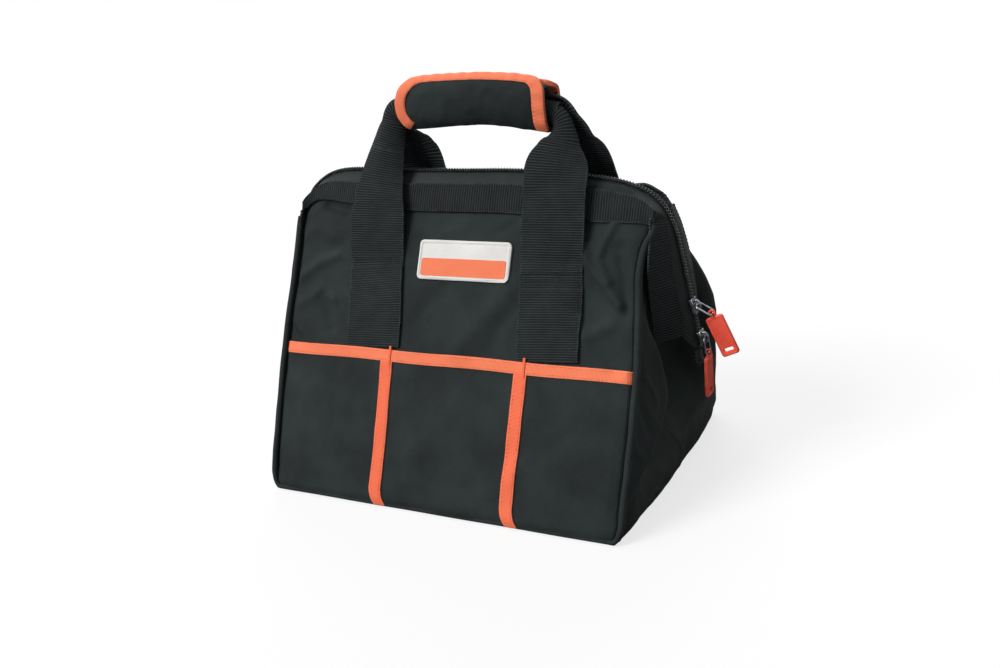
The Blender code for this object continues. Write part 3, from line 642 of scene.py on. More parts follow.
# Pitch and direction of the ribs, roughness, depth, sheen, pitch of the yarns, sharpness
BINDING = (0.95, "X", 0.6, 0.12, 0.05, 0.8, 1.0)
ORANGE = ribbed("orange_binding", "f4623c", "ff8662", "ff9c80", *BINDING)
ORANGE_PALE = ribbed("orange_binding_pale", "f67048", "ff9670", "ffa888", *BINDING)
COIL = plain("black_nylon_coil", "0b0c0c", "1c1f21", "3c4144", 0.3, 0.5, 0.03, specular=0.5)
METAL = plain("gunmetal", "54565a", "8c8f94", "c4c6c9", 0.24, 0.4, 0.02, 1.0)
RUBBER = plain("orange_rubber", "ff5440", "ff664e", "ff8a74", 0.45, 0.35, 0.05, specular=0.3)
BOARD = plain("grey_board", "35383a", "4a4e50", "63686a", 0.6, 1.2, 0.05)
THREAD = plain("black_thread", "0b0d0d", "1c2121", "2c3132", 0.6, 0.3, 0.05, specular=0.2)
THREAD_ORANGE = plain("orange_thread", "e85a33", "f97c50", "fb9470", 0.55, 0.3, 0.05, specular=0.2)
THREAD_WHITE = plain("white_thread", "dcdad4", "f6f5f1", "ffffff", 0.55, 0.3, 0.05)
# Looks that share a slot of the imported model
SLOTS = {
    "black_webbing_band": "black_webbing",
    "black_zip_tape": "black_webbing",
    "black_thread": "black_webbing",
    "orange_thread": "orange_binding",
    "orange_binding_pale": "orange_binding",
    "white_thread": "white_label",
}

# %% [markdown]
# ## The walls
#
# A place on a wall is given by u across it, n out of it and v up its slant. The front swells a
# little and the back swells more, and the cloth has folds where the photograph shows them.

# %%
# How far the front wall's left and right edges are pulled outward at these heights
PULL_LEFT = smooth_line(
    [-9, 150, 180, 200, 215, 226, 235, 243, 260],
    [0, 0.4, 1.4, 2.8, 4.4, 5.0, 3.4, 2.0, 0],
)
PULL_RIGHT = smooth_line(
    [-9, 100, 140, 168, 188, 205, 215, 222, 230, 240, 260],
    [0, -0.8, -2.2, -3.4, -4.0, -1.2, 3.4, 5.4, 5.6, 3.0, 0],
)
FLOOR_GAP = 0.35


def plane(face, u, n, v):
    """A place on a wall in space: u across it, n out of it and v up its slant."""
    u, n, v = floats(u, n, v)
    height = np.maximum(v * COS + n * SIN, FLOOR_GAP)
    return stacked(u, face * (HALF_DEPTH - v * SIN + n * COS), height)


def wall(face, u, n, v):
    """The same with the front wall's pulled edges."""
    u, v = floats(u, v)
    if face == FRONT:
        share = np.clip((np.abs(u) - 60) / 85, 0, 1.1) ** 2
        u = u + share * np.where(u > 0, PULL_RIGHT(v), -PULL_LEFT(v))
    return plane(face, u, n, v)


def outward(face):
    """The direction out of a wall."""
    return np.array((0, face * COS, SIN))


def wall_part(face, u, v, out, thickness):
    """A sheet on a wall: its outer side lies out of the wall by a distance at each place."""
    return sheet_part(wall(face, u, out, v), wall(face, u, out - thickness, v), stacked(u, v))


def wall_stitches(face, u, v, out, *grain):
    return stitch_part(wall(face, u, out, v), outward(face), *grain)


# Half the width of each wall's cloth at these heights
EDGE_HEIGHTS = [0, 16, 50, 90, 132, 170, 200, 222, 235, 243, 248, 251]
EDGES = {
    FRONT: smooth_line(
        EDGE_HEIGHTS, [145.0, 145.6, 146.6, 147.4, 147.6, 146.2, 144.4, 142.6, 139, 133, 126, 119]
    ),
    BACK: smooth_line(
        EDGE_HEIGHTS, [145.0, 146.5, 149.5, 151.0, 150.5, 147.8, 145.0, 142.6, 139, 133, 126, 119]
    ),
}
CORNER = 9.0  # the radius of the wall's lower corners


def edge(face, v):
    """Half the width of a wall's cloth at this height."""
    v = np.asarray(v, float)
    low = EDGES[face](CORNER) - CORNER + np.sqrt(np.maximum(CORNER**2 - (CORNER - v) ** 2, 0))
    return np.where(v < CORNER, low, EDGES[face](v))


# Folds on each wall, as paths of u and v with a width and a height
FRONT_FOLDS = [
    ([(100, 203), (107, 192), (116, 183), (135, 165)], 4.2, 2.6),
    ([(119, 222), (114, 196), (125, 180)], 3.6, 1.9),
    ([(104, 172), (106, 159), (134, 121)], 7.0, -2.0),
    ([(128, 205), (136, 185), (140, 160)], 4.5, -1.6),
    ([(110, 142), (128, 150)], 5.0, 1.3),
    ([(8, 124), (22, 140), (44, 170)], 9.0, 1.5),
    ([(-34, 140), (-20, 158), (-8, 168)], 7.0, -0.9),
    ([(52, 160), (40, 140), (36, 126)], 6.0, -1.0),
    ([(-141, 172), (-124, 184), (-108, 190)], 5.0, 1.9),
    ([(-138, 150), (-122, 160), (-108, 156)], 5.0, 1.2),
    ([(-118, 158), (-107, 134)], 5.0, -1.9),
    ([(-150, 134), (-136, 121)], 3.2, -1.6),
    ([(-142, 205), (-130, 212), (-112, 206)], 6.0, 1.4),
    ([(-104, 226), (-122, 231)], 4.5, -2.6),
    ([(-36, 212), (-20, 208), (4, 216)], 5.0, 0.9),
    ([(44, 220), (30, 212)], 4.0, -0.8),
]
POCKET_FOLDS = [
    ([(-18, 42), (-4, 64), (14, 84)], 13.0, 1.8),
    ([(48, 24), (62, 36), (74, 46)], 8.0, 1.2),
    ([(-30, 92), (-8, 100)], 8.0, -0.8),
    ([(-128, 88), (-108, 66)], 13.0, 1.3),
    ([(-120, 30), (-96, 22)], 12.0, 1.0),
    ([(92, 96), (118, 84)], 10.0, 0.9),
    ([(84, 60), (112, 40), (132, 36)], 11.0, 1.2),
    ([(10, 22), (34, 30)], 10.0, -0.9),
]
BACK_FOLDS = [
    ([(-20, 60), (10, 92), (24, 130)], 16.0, 2.2),
    ([(-128, 70), (-104, 110), (-108, 150)], 12.0, 2.0),
    ([(120, 60), (104, 100)], 12.0, -1.8),
    ([(116, 180), (128, 150), (132, 120)], 6.0, 2.0),
    ([(-124, 200), (-132, 170)], 6.0, 2.0),
    ([(-30, 180), (0, 170), (30, 186)], 9.0, -1.5),
    ([(0, 30), (60, 22)], 14.0, 1.4),
]
FOLD_STRENGTH = 1.45
BULGE = {FRONT: 8.0, BACK: 52.0}
# How high the wall's lumps are, their size, and where in the noise they are taken
LUMPS = ((0.8, 34.0, 7.0), (0.25, 13.0, 3.0))
# How deep the cloth rolls back at its side edges and at its bottom, and over what width
EDGE_ROLLS = ((1.7, 6.0), (2.2, 1.2))
BOTTOM_ROLL, BOTTOM_WIDTH = 3.0, 9.0
POCKET_TOP = 117.0  # below this the front wall lies behind the pockets


def swell(face, v):
    """How far a wall bulges out at this height."""
    t = np.clip(np.asarray(v, float) / SLANT, 0, 1)
    return BULGE[face] * t * (1 - t)


def relief(face, u, v):
    """How far a wall's outer cloth stands out of the flat, edges and lower roll included."""
    u, v = floats(u, v)
    near = edge(face, v) - np.abs(u)
    out = swell(face, v)
    for height, size, place in LUMPS:
        out = out + height * rough(stacked(u, v, place * face), size)
    for path, width, height in FRONT_FOLDS if face == FRONT else BACK_FOLDS:
        out = out + FOLD_STRENGTH * fold(u, v, path, width, height) * np.clip(near / 6, 0, 1)
    for depth, width in EDGE_ROLLS:
        out = out - depth * np.exp(-np.maximum(near, 0) / width)
    return out - BOTTOM_ROLL * np.clip((BOTTOM_WIDTH - v) / BOTTOM_WIDTH, 0, 1) ** 2


def band_lift(v):
    """The cloth dips under the band."""
    return -0.9 * np.clip((np.asarray(v, float) - 224) / 6, 0, 1)


def wall_grid(face, low, high, rows, columns, margin=0.0):
    """u and v over a wall, from edge to edge, finer where it is near an edge."""
    v = np.linspace(low, high, rows)[:, None]
    u = eased(-1, columns, 1.25)[None] * (edge(face, v) - margin)
    return u, np.broadcast_to(v, u.shape)


def make_wall(face):
    """The wall's outer cloth with its padding, thick in the middle and thin at the edges."""
    word = WORDS[face]
    u, v = wall_grid(face, 1.0, 249.0, 176, 190)
    out = relief(face, u, v) + band_lift(v)
    if face == FRONT:
        out = np.where(v < POCKET_TOP, out - 0.8, out)
    crown = np.clip((edge(face, v) - np.abs(u)) / 10, 0, 1) * np.clip(v / 10, 0, 1)
    part = wall_part(face, u, v, out, 1.8 + 3.0 * crown)
    made = make(f"{word}_padded_wall", part, CLOTH, f"{word}_wall", f"{word}_panel", f"{word}_foam")
    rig.padded(made, fill=0.2)


def make_lining(face):
    """The lining, which follows the wall's inner side with looser lumps."""
    word = WORDS[face]
    u, v = wall_grid(face, 7.0, 236.0, 90, 80, 3.5)
    outer = relief(face, u, v)
    inside = outer * 0.85 - 5.6 - 0.5 * (1 + rough(stacked(u, v, 0), 26.0, 4.0))
    part = wall_part(face, u, v, np.minimum(inside, outer - 5.3), 0.7)
    made = make(f"{word}_lining_cloth", part, LINING, f"{word}_wall", f"{word}_lining")
    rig.sheet(made, flat=(0.293, 0.232), held="stretched", rests_on=[f"{word}_padded_wall"], area=0.0655)


for face in (FRONT, BACK):
    make_wall(face)
    make_lining(face)

# %% [markdown]
# ## The pockets, their orange tape and the label

# %%
POCKET_PUFF = smooth_line(
    [-150, -128, -90, -60, -50, -10, 20, 56, 66, 100, 130, 150],
    [0.2, 1.3, 2.0, 0.5, 0.5, 2.0, 1.8, 0.4, 0.4, 1.9, 1.2, 0.2],
)
# Stitches: their pitch, length and half width
TAPE_STITCH = (2.9, 2.1, 0.3)
EDGE_STITCH = (3.0, 2.2, 0.28)
BAR_STITCH = (2.2, 1.9, 0.34)
LABEL_STITCH = (2.0, 1.6, 0.26)
BASE_STITCH = (3.4, 2.4, 0.3)
EDGING_LOW, EDGING_WIDE = 110.6, 8.9
EDGING_SEAMS = (111.9, 118.2)


def pocket_out(u, v):
    """The pocket's outer cloth. It lies on the wall and puffs a little between its seams."""
    u, v = floats(u, v)
    free = np.clip(v / 20, 0, 1) * np.clip((edge(FRONT, v) - np.abs(u)) / 8, 0, 1)
    swelling = POCKET_PUFF(u) * np.sin(np.clip(v / 112, 0, 1) * math.pi) ** 0.8
    for path, width, height in POCKET_FOLDS:
        swelling = swelling + fold(u, v, path, width, height)
    return relief(FRONT, u, v) + 1.5 + swelling * free


def make_pocket():
    """One cloth from side to side, which the upright tapes part into pockets."""
    u, v = wall_grid(FRONT, 1.4, 119.2, 96, 190, 0.2)
    part = wall_part(FRONT, u, v, pocket_out(u, v), 1.2)
    made = make("pocket_cloth", part, CLOTH, "front_wall", "front_pocket")
    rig.sheet(made, flat=(0.296, 0.119), held="stretched", rests_on=["front_padded_wall"], area=0.0347)


def make_pocket_edging():
    """The wide edging across the pockets' mouths, folded over the pocket's top edge."""
    across = np.linspace(-1, 1, 180)[:, None]
    rise = np.linspace(0, 1, 12)[None]
    v = EDGING_LOW + EDGING_WIDE * rise + 0.35 * np.sin(across * 9)
    u = across * (edge(FRONT, 114) + 0.6) + 0 * rise
    lap = np.clip((1 - np.abs(across)) * 30, 0, 1)
    out = pocket_out(u, np.minimum(v, 118.5)) + 0.75 * lap + 0.35 * (1 - (2 * rise - 1) ** 6)
    make("pocket_edging", wall_part(FRONT, u, v, out, 2.3), ORANGE_PALE, "front_wall", "pocket_binding")
    u = np.linspace(-edge(FRONT, 110), edge(FRONT, 110), 240)
    return [wall_stitches(FRONT, u, v, pocket_out(u, v) + 1.15, *TAPE_STITCH) for v in EDGING_SEAMS]


def tape_u(middle, share, v):
    """u on a pocket's upright tape, which wanders a little and curls aside at the bottom."""
    curl = 4.5 * np.clip((16 - v) / 14, 0, 1) ** 2
    return middle + 0.9 * np.sin(v / 31 + middle) + curl + share * 5.1


def strip_part(middle, low, high, lift, rows, crown=0.25, wide=1.0, shift=0.0):
    """A run of upright tape on the pocket. Its width and shift are shares of the tape's own."""
    v = np.linspace(low, high, rows)[:, None]
    share = np.linspace(-1, 1, 9)[None]
    u = tape_u(middle, share * wide + shift, v)
    v = np.broadcast_to(v, u.shape)
    top = pocket_out(u, np.minimum(v, 119)) + lift + crown * (1 - share**4)
    return sheet_part(wall(FRONT, u, top + 0.5, v), wall(FRONT, u, top - 0.6, v), stacked(v, share * 5))


def make_pocket_tape(name, middle):
    """An upright tape with a narrow tip over the edging."""
    tape = strip_part(middle, 1.6, 111.0, 0.55, 110)
    tip = strip_part(middle, 108.0, 122.4, 1.25, 14, 0.1, 0.18, 0.55)
    make(f"pocket_seam_{name}", join_parts([tape, tip]), ORANGE, "front_wall", f"pocket_tape_{name}")
    v = np.linspace(6, 108, 120)
    lines = []
    for share in (-0.72, 0.72):
        u = tape_u(middle, share, v)
        lines.append(wall_stitches(FRONT, u, v, pocket_out(u, v) + 1.35, *TAPE_STITCH))
    return lines


def label_ground(u, v):
    """The label is stiffer than the wall, so it follows the folds only in part."""
    return relief(FRONT, u, v) * 0.7 + 0.9


def make_label():
    """A white patch with a sewn rim and an orange bar."""
    left, right, low, high = -33, 45, 175.3, 205.3
    u, v = patch_grid(left, right, low, high, 4.0, 60, 120)
    rim = 1 - np.clip(np.minimum.reduce([u - left, right - u, v - low, high - v]) / 2.6, 0, 1)
    out = label_ground(u, v) + 1.25 + 0.45 * np.sin(rim * math.pi)
    make("label_cloth", wall_part(FRONT, u, v, out, 1.9), LABEL, "front_wall", "label_patch")
    u, v = patch_grid(-30, 42, 178.0, 191.4, 2.0, 30, 100)
    part = wall_part(FRONT, u, v, label_ground(u, v) + 1.6, 0.8)
    make("label_orange_bar", part, ORANGE_PALE, "front_wall", "label_bar")
    u, v = (sewn_box(37.4, 176.9, 203.7, 3.2) + (6.0, 0)).T
    line = wall_stitches(FRONT, u, v, label_ground(u, v) + 1.75, *LABEL_STITCH)
    make("label_stitches", line, THREAD_WHITE, "front_wall")


make_pocket()
threads = make_pocket_edging() + make_pocket_tape("left", -50.4) + make_pocket_tape("right", 61.6)
make("pocket_stitches", join_parts(threads), THREAD_ORANGE, "front_wall")
make_label()

# %% [markdown]
# ## Piping
#
# A roll of cloth runs round the wall's sides and bottom, and a thinner one lies behind it.

# %%
# How far a roll lies beyond the cloth's edge and out of the wall, and its radius at the sides
# and along the bottom
ROLLS = ((2.5, -0.4, 2.6, 1.75), (1.5, -5.3, 1.8, 1.5))


def roll_part(face, reach, depth, thick, thin):
    """One roll, down the wall's right edge, along the bottom and up the left edge."""
    corner = 16 - 13.4 * np.sin(np.linspace(0.06, 1, 14) * math.pi / 2)
    v = np.concatenate([np.linspace(221, 16, 90), corner])
    side = edge(face, np.maximum(v, 2.6)) + reach * np.clip((v - 2) / 12, 0.1, 1)
    out = swell(face, v) + depth - np.clip((10 - v) / 8, 0, 1)
    radius = thin + (thick - thin) * np.clip((v - 2.6) / 14, 0, 1)
    wobble = 0.35 * rough(stacked(v, 0, reach), 22.0)
    right = wall(face, side + wobble, out, v)
    left = wall(face, -side + wobble, out, v)[::-1]
    u = np.linspace(right[-1, 0], left[0, 0], 60)[1:-1]
    middle = wall(face, u, out[-1] + 0.15 * np.sin(u / 13), v[-1])
    path = np.vstack([right, middle, left])
    size = np.concatenate([radius, np.full(len(middle), radius[-1]), radius[::-1]])
    path[:, 2] = np.maximum(path[:, 2], size + 0.2)
    return tube_part(path, size, 12, up=outward(face))


def edge_stitches(face, sign):
    """Stitches beside the piping, over the pocket where there is one."""
    v = np.linspace(20, 214, 160)
    u = sign * (edge(face, v) - 2.4)
    ground = relief(face, u, v)
    if face == FRONT:
        ground = np.where(v < POCKET_TOP, pocket_out(u, v), ground)
    return wall_stitches(face, u, v, ground + 0.15, *EDGE_STITCH)


for face in (FRONT, BACK):
    word = WORDS[face]
    rolls = join_parts([roll_part(face, *roll) for roll in ROLLS])
    make(f"{word}_piping", rolls, CLOTH, f"{word}_wall", f"{word}_piping_left", f"{word}_piping_right")
    lines = join_parts([edge_stitches(face, sign) for sign in (-1, 1)])
    make(f"{word}_edge_stitches", lines, THREAD, f"{word}_wall")

# %% [markdown]
# ## The sides
#
# Each side is a folded gusset in two halves. The front half flares out and tucks into a deep
# pleat. The back half comes out of the pleat and faces out. Above, both pass under the bands
# beside the zip. A row gives the seam's height up the wall, then how far its points are from
# the seam toward the middle plane, and the X of each. The last X is at the middle plane, where
# the two halves share one height.

# %%
FRONT_SIDE = [
    (3, (0, 14, 32, 52, 72, 88, 97), (145.6, 147.2, 147.8, 148.4, 149.0, 149.0, 149.0, 149.0)),
    (10, (0, 12, 28, 46, 60, 76, 92), (146.8, 149.8, 151.2, 152.6, 153.8, 154.2, 154.4, 154.6)),
    (22, (0, 10, 24, 40, 56, 70, 84), (147.4, 150.6, 150.6, 150.2, 151.6, 153.8, 155.6, 156.0)),
    (33, (0, 8, 18, 30, 48, 66, 80), (147.9, 151.2, 151.4, 148.4, 146.4, 147.8, 150.8, 155.0)),
    (44, (0, 6, 11, 16, 24, 46, 70), (148.2, 151.4, 153.6, 152.6, 146.0, 143.6, 144.2, 148.2)),
    (53, (0, 7, 14, 20, 24.5, 42, 66), (148.5, 151.8, 155.2, 156.2, 148.4, 142.2, 141.6, 143.6)),
    (60, (0, 8, 18, 26, 30, 44, 62), (148.8, 151.8, 155.0, 157.0, 148.4, 141.0, 140.2, 141.2)),
    (70, (0, 10, 24, 36, 39, 48, 60), (149.0, 152.0, 155.8, 157.8, 149.8, 141.4, 139.9, 139.9)),
    (92, (0, 12, 28, 41, 43.5, 48, 58), (149.3, 152.6, 156.6, 158.4, 150.0, 142.4, 140.0, 139.8)),
    (112, (0, 10, 21, 30, 33, 38, 50), (149.4, 152.4, 155.4, 157.0, 149.4, 142.0, 140.6, 150.0)),
    (132, (0, 6, 13, 19, 22, 26, 37), (148.4, 150.6, 152.8, 153.6, 147.4, 142.6, 147.6, 167.2)),
    (148, (0, 4, 8, 11, 14, 17, 30), (147.0, 148.4, 149.6, 149.6, 147.0, 145.0, 152.0, 165.0)),
    (166, (0, 3, 5, 8, 10, 13, 26), (144.8, 144.6, 144.4, 144.6, 145.0, 145.8, 153.0, 161.6)),
    (190, (0, 1.2, 2.4, 3.6, 5, 7, 16), (142.6, 142.8, 143.2, 143.8, 144.4, 145.4, 149.8, 156.8)),
    (206, (0, 1, 2, 3, 4, 5.2, 11), (142.8, 143.2, 143.7, 144.2, 144.8, 145.6, 148.4, 153.4)),
]
BACK_SIDE = [
    (3, (0, 12, 28, 46, 66, 84, 96), (146.2, 149.2, 150.2, 150.4, 150.2, 149.8, 149.4, 149.0)),
    (10, (0, 10, 24, 44, 62, 80, 92), (147.6, 152.2, 153.8, 154.6, 154.8, 154.8, 154.7, 154.6)),
    (22, (0, 9, 22, 40, 58, 74, 88), (149.2, 155.0, 156.6, 157.0, 157.0, 156.8, 156.4, 156.0)),
    (33, (0, 9, 20, 36, 52, 68, 82), (150.6, 157.0, 158.4, 158.8, 158.8, 158.2, 156.8, 155.0)),
    (44, (0, 9, 19, 32, 42, 54, 72), (151.6, 158.6, 159.8, 160.0, 159.6, 156.8, 151.6, 148.2)),
    (53, (0, 9, 18, 28, 37, 50, 70), (152.2, 160.0, 161.2, 161.0, 158.6, 151.8, 145.6, 143.6)),
    (60, (0, 9, 17, 26, 34, 46, 66), (152.8, 161.0, 162.0, 161.0, 156.6, 149.0, 142.6, 141.2)),
    (70, (0, 9, 17, 25, 32, 43, 60), (153.4, 162.0, 163.2, 161.4, 154.6, 145.6, 140.6, 139.9)),
    (92, (0, 9, 17, 25, 31, 39, 54), (154.4, 163.8, 165.4, 163.0, 154.0, 144.0, 140.0, 139.8)),
    (112, (0, 8, 15, 22, 28, 34, 44), (155.0, 166.4, 168.8, 167.2, 158.6, 150.0, 144.0, 150.0)),
    (132, (0, 7, 12, 18, 24, 31, 42), (154.6, 167.4, 171.0, 170.4, 165.6, 160.6, 160.6, 167.2)),
    (148, (0, 6, 11, 16, 21, 26, 36), (153.2, 165.0, 169.6, 169.6, 166.4, 162.8, 161.8, 165.0)),
    (166, (0, 5, 9, 13, 17, 22, 31), (151.0, 160.2, 164.6, 165.2, 163.2, 161.0, 160.0, 161.6)),
    (190, (0, 3, 6, 9, 12, 14, 20), (147.4, 152.0, 156.0, 157.6, 157.0, 155.4, 154.6, 156.8)),
    (206, (0, 1.5, 3, 4.6, 6, 7.4, 12), (144.6, 146.0, 147.4, 148.2, 148.6, 149.0, 150.4, 153.4)),
]
# How much deeper the middle of the recess is than the tables say, at these heights
RECESS = smooth_line([0, 30, 50, 70, 92, 112, 132, 152, 175, 210], [0, 0, 5, 12, 16, 20, 20, 8, 0, 0])
RECESS_START = 0.55  # as a share of the way from the seam to the middle plane
SEAM_DEPTH = 5.8  # how far in the side is sewn behind the wall's outer cloth
OVERLAP = 0.8  # how far each half reaches past the middle plane
SIDE_THICK = 1.3
INWARD = 45.0  # how far in from a wall the cloth beside it still moves a little with it


def toward_base(face):
    """Where cloth beside a wall goes over from the wall to the base, along the wall's normal."""
    start = Vector((0, face * HALF_DEPTH, 0))
    end = start + Vector((0, -face * COS, -SIN)) * INWARD
    return {"start": tuple(start * MM), "end": tuple(end * MM)}


def bend_to_base(made, face):
    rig.blend(made, f"{WORDS[face]}_wall", "base", **toward_base(face))


# Creases on the side cloth, as paths of Y and Z with a width and a height
FRONT_CREASES = [
    ([(-66, 118), (-54, 98), (-46, 80)], 2.6, 1.0),
    ([(-74, 96), (-62, 76), (-60, 62)], 3.4, -1.3),
    ([(-84, 64), (-74, 50)], 3.0, 0.9),
    ([(-50, 10), (-30, 17), (0, 26)], 1.8, 1.2),
    ([(-100, 16), (-84, 30)], 4.0, -0.8),
]
BACK_CREASES = [
    ([(0, 26), (30, 34), (58, 43)], 1.8, 1.6),
    ([(50, 112), (60, 92), (66, 72)], 3.0, 1.1),
    ([(44, 150), (52, 132), (56, 120)], 3.0, -1.2),
    ([(86, 40), (80, 66)], 4.0, -0.9),
]


def side_surface(face, table, creases):
    """One half of the right side as a grid, and how far each row is free of the sewn edges."""
    rows = []
    for v, inward, width in table:
        seam = wall(face, 0, swell(face, v) - SEAM_DEPTH, v)
        middle_height = plane(face, 0, -SEAM_DEPTH, v)[2]
        share = np.linspace(0, 1, len(width))
        deeper = RECESS(v) * np.maximum(share - RECESS_START, 0) / (1 - RECESS_START)
        y = np.append(seam[1] - face * np.array(inward), -face * OVERLAP)
        z = np.maximum(seam[2] + (middle_height - seam[2]) * share, 1.2)
        rows.append(stacked(np.array(width) - deeper, y, z))
    grid = net(rows, 96, 150)
    free = np.clip(np.minimum(np.linspace(0, 12, 96), np.linspace(12, 0, 96)), 0, 1)[:, None]
    for path, width, height in creases:
        grid[..., 0] += fold(grid[..., 1], grid[..., 2], path, width, height) * free
    grid[..., 2] = np.maximum(grid[..., 2], 0.8)
    return grid, free


def make_side(face, grid, free, name, flat_width, area):
    """One half of a side, which goes over from its wall to the base."""
    word, sign = WORDS[face], -1 if name == "left" else 1
    side = grid * (sign, 1, 1)
    side[..., 0] += sign * free * (0.7 * rough(side, 30.0, 2.0 * face) + 0.25 * rough(side, 10.0, 5.0))
    inner = side - SIDE_THICK * facing(side, slice(None), (sign, 0, 0))
    nodes = [f"{word}_gusset_{name}"] + ([f"gusset_center_{name}"] if face == FRONT else [])
    made = make(f"{word}_side_cloth_{name}", sheet_part(side, inner, side[..., 1:]), CLOTH, None, *nodes)
    bend_to_base(made, face)
    # Half the base's depth and the folds wide, the wall's slant long, cut narrower toward the top
    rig.sheet(made, flat=(flat_width, 0.212), held="stretched", rests_on=[f"{word}_padded_wall"], area=area)


SIDES = ((FRONT, FRONT_SIDE, FRONT_CREASES, 0.126, 0.0156), (BACK, BACK_SIDE, BACK_CREASES, 0.132, 0.0179))
for face, table, creases, flat_width, area in SIDES:
    grid, free = side_surface(face, table, creases)
    for name in ("left", "right"):
        make_side(face, grid, free, name, flat_width, area)

# %% [markdown]
# ## The base


# %%
def make_base():
    """The base's cloth, which rounds up at its edges, and its stitches."""
    u, v = patch_grid(-145.2, 145.2, -111.0, 111.0, 16.0, 60, 60)
    low = 0.25 + 0.5 * (np.abs(u) / 145) ** 8 + 0.5 * (np.abs(v) / 111) ** 8
    low = low + 0.1 * rough(stacked(u, v, 0), 30.0)
    part = sheet_part(stacked(u, v, 1.75), stacked(u, v, np.minimum(low, 1.3)), stacked(u, v))
    made = make("base_cloth", part, CLOTH, "base", "base_panel")
    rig.sheet(made, flat=(0.29, 0.222), held="stretched", rests_on=["base_board"], area=0.0642)
    x, y = sewn_box(136.0, -102.0, 102.0, 14.0).T
    line = stitch_part(stacked(x, y, 0.32), (0, 0, -1), *BASE_STITCH)
    make("base_stitches", line, THREAD, "base")


make_base()

# %% [markdown]
# ## The rim: webbing band, zip tape and coils
#
# The three lines below run from the middle of the mouth round the right corner and down the
# side: the zip's own line, the band's inner edge beside the zip's tape, and its outer edge.

# %%
# Across the front and back: how far from the middle, and the band's lower and upper edge up the wall
CROSS = {
    "right": [
        (0, 227.3, 248.8), (32, 227.2, 248.8), (64, 225.5, 247.8), (95, 222.8, 246.4),
        (110, 222.0, 245.2), (124, 221.9, 243.2), (135, 221.9, 240.4), (143, 221.6, 236.6),
        (149.5, 220.9, 231.0),
    ],
    "left": [
        (0, 227.3, 248.8), (32, 227.2, 248.8), (64, 228.5, 249.0), (95, 231.6, 249.4),
        (112, 233.6, 250.2), (124, 235.0, 249.8), (134, 234.8, 246.6), (142, 231.4, 240.4),
        (148.4, 226.0, 232.5),
    ],
}
# The zip's own line as X and Z, first over the bag and then down its side
OVER = {
    "right": [
        (0, 233.5), (32, 233.6), (64, 232.4), (95, 229.6), (110, 227.8), (124, 224.9), (135, 221.0),
        (143.2, 216.4), (150.6, 209.2),
    ],
    "left": [
        (0, 233.5), (32, 233.6), (64, 234.1), (95, 234.7), (110, 234.4), (121, 232.8), (131, 229.4),
        (140.8, 223.6), (149.4, 215.6),
    ],
}
DOWN_SIDE = [
    (155.4, 201), (159.4, 190), (161.9, 178), (164.6, 163), (167.4, 148), (169.8, 133), (172.4, 117.5),
    (174.9, 104.5),
]
# The side band's outer edge: X, distance from the middle plane, Z
SIDE_EDGE = {
    FRONT: [
        (148.6, 22.0, 204), (149.6, 26.4, 192), (149.2, 30.6, 178), (148.6, 31.6, 163),
        (148.6, 30.4, 148), (149.0, 28.0, 132), (150.4, 25.0, 116),
    ],
    BACK: [
        (151.4, 21.0, 205), (154.6, 25.4, 193), (157.0, 29.2, 179), (159.6, 30.8, 164),
        (162.2, 30.4, 149), (164.0, 28.4, 133), (164.6, 25.0, 117),
    ],
}
FULL = 320  # points along each half of a line
BAND_THICK, TAPE_THICK = 1.5, 0.7
STATIONS = len(OVER["right"] + DOWN_SIDE)
BAND_END = int(FULL * (STATIONS - 2) / (STATIONS - 1))


def rim_half(face, side):
    """The zip's line, the band's inner edge and its outer edge, from the middle to the zip's end."""
    line = [(x, face * 0.9, z) for x, z in OVER[side] + DOWN_SIDE]
    inner, outer = [], []
    sign = 1 if side == "right" else -1
    for k, (u, low_v, top_v) in enumerate(CROSS[side]):
        corner = 0.0 if face == FRONT else np.clip((u - 122) / 16, 0, 1)
        ground = float(relief(face, sign * min(u, 140), low_v)) * 0.6
        outer.append(plane(face, u, ground + 1.9, low_v))
        spot = plane(face, u + (0.0 if k < 6 else 0.8), 2.3, top_v + 5.0 * corner)
        near = 0.5 * corner
        inner.append(spot * (1 - near) + near * (np.array(line[k]) + (0, 2.0, 3.4)))
    for (x, y, z), zip_spot in zip(SIDE_EDGE[face], line[len(CROSS[side]) :]):
        spot = np.array((x, face * y, z))
        outer.append(spot)
        inner.append(np.array(zip_spot) * 0.72 + spot * 0.28 + (0.5, face * 0.4, 0))
    last = np.array(line[-1])
    outer.append(last + (-7.5, face * 11, 6))
    inner.append(last + (-2.5, face * 4.2, 2))
    return [spline(points, FULL) for points in (line, inner, outer)]


def rim_lines(face):
    """The same lines from the zip's left end to its right end."""
    pairs = zip(rim_half(face, "left"), rim_half(face, "right"))
    return [np.vstack([left[:0:-1] * (-1, 1, 1), right]) for left, right in pairs]


def make_band(face, top, low):
    """The webbing band round the mouth and down both sides, sewn along its two edges."""
    word = WORDS[face]
    share = np.linspace(0, 1, 16)[None, :, None]
    band = top[:, None] * share + low[:, None] * (1 - share)
    run = length_along((top + low) / 2)
    out = facing(band, len(band) // 2, (0, face, 0))
    pucker = rough(stacked(run, 0, face), 9.0)[:, None, None]
    curve = 4 * share * (1 - share)
    band = band + out * (0.5 * curve + 0.35 * pucker * curve)
    width = np.linalg.norm(top - low, axis=1)
    part = sheet_part(band, band - out * BAND_THICK, stacked(run[:, None], share[..., 0] * width[:, None]))
    nodes = [f"{word}_band", f"side_band_{word}_left", f"side_band_{word}_right"]
    bend_to_base(make(f"{word}_rim_band", part, BANDING, None, *nodes), face)
    lines = [stitch_part(band[:, k] + out[:, k] * 0.12, out[:, k], *EDGE_STITCH) for k in (1, 14)]
    bend_to_base(make(f"{word}_band_stitches", join_parts(lines), THREAD, None), face)


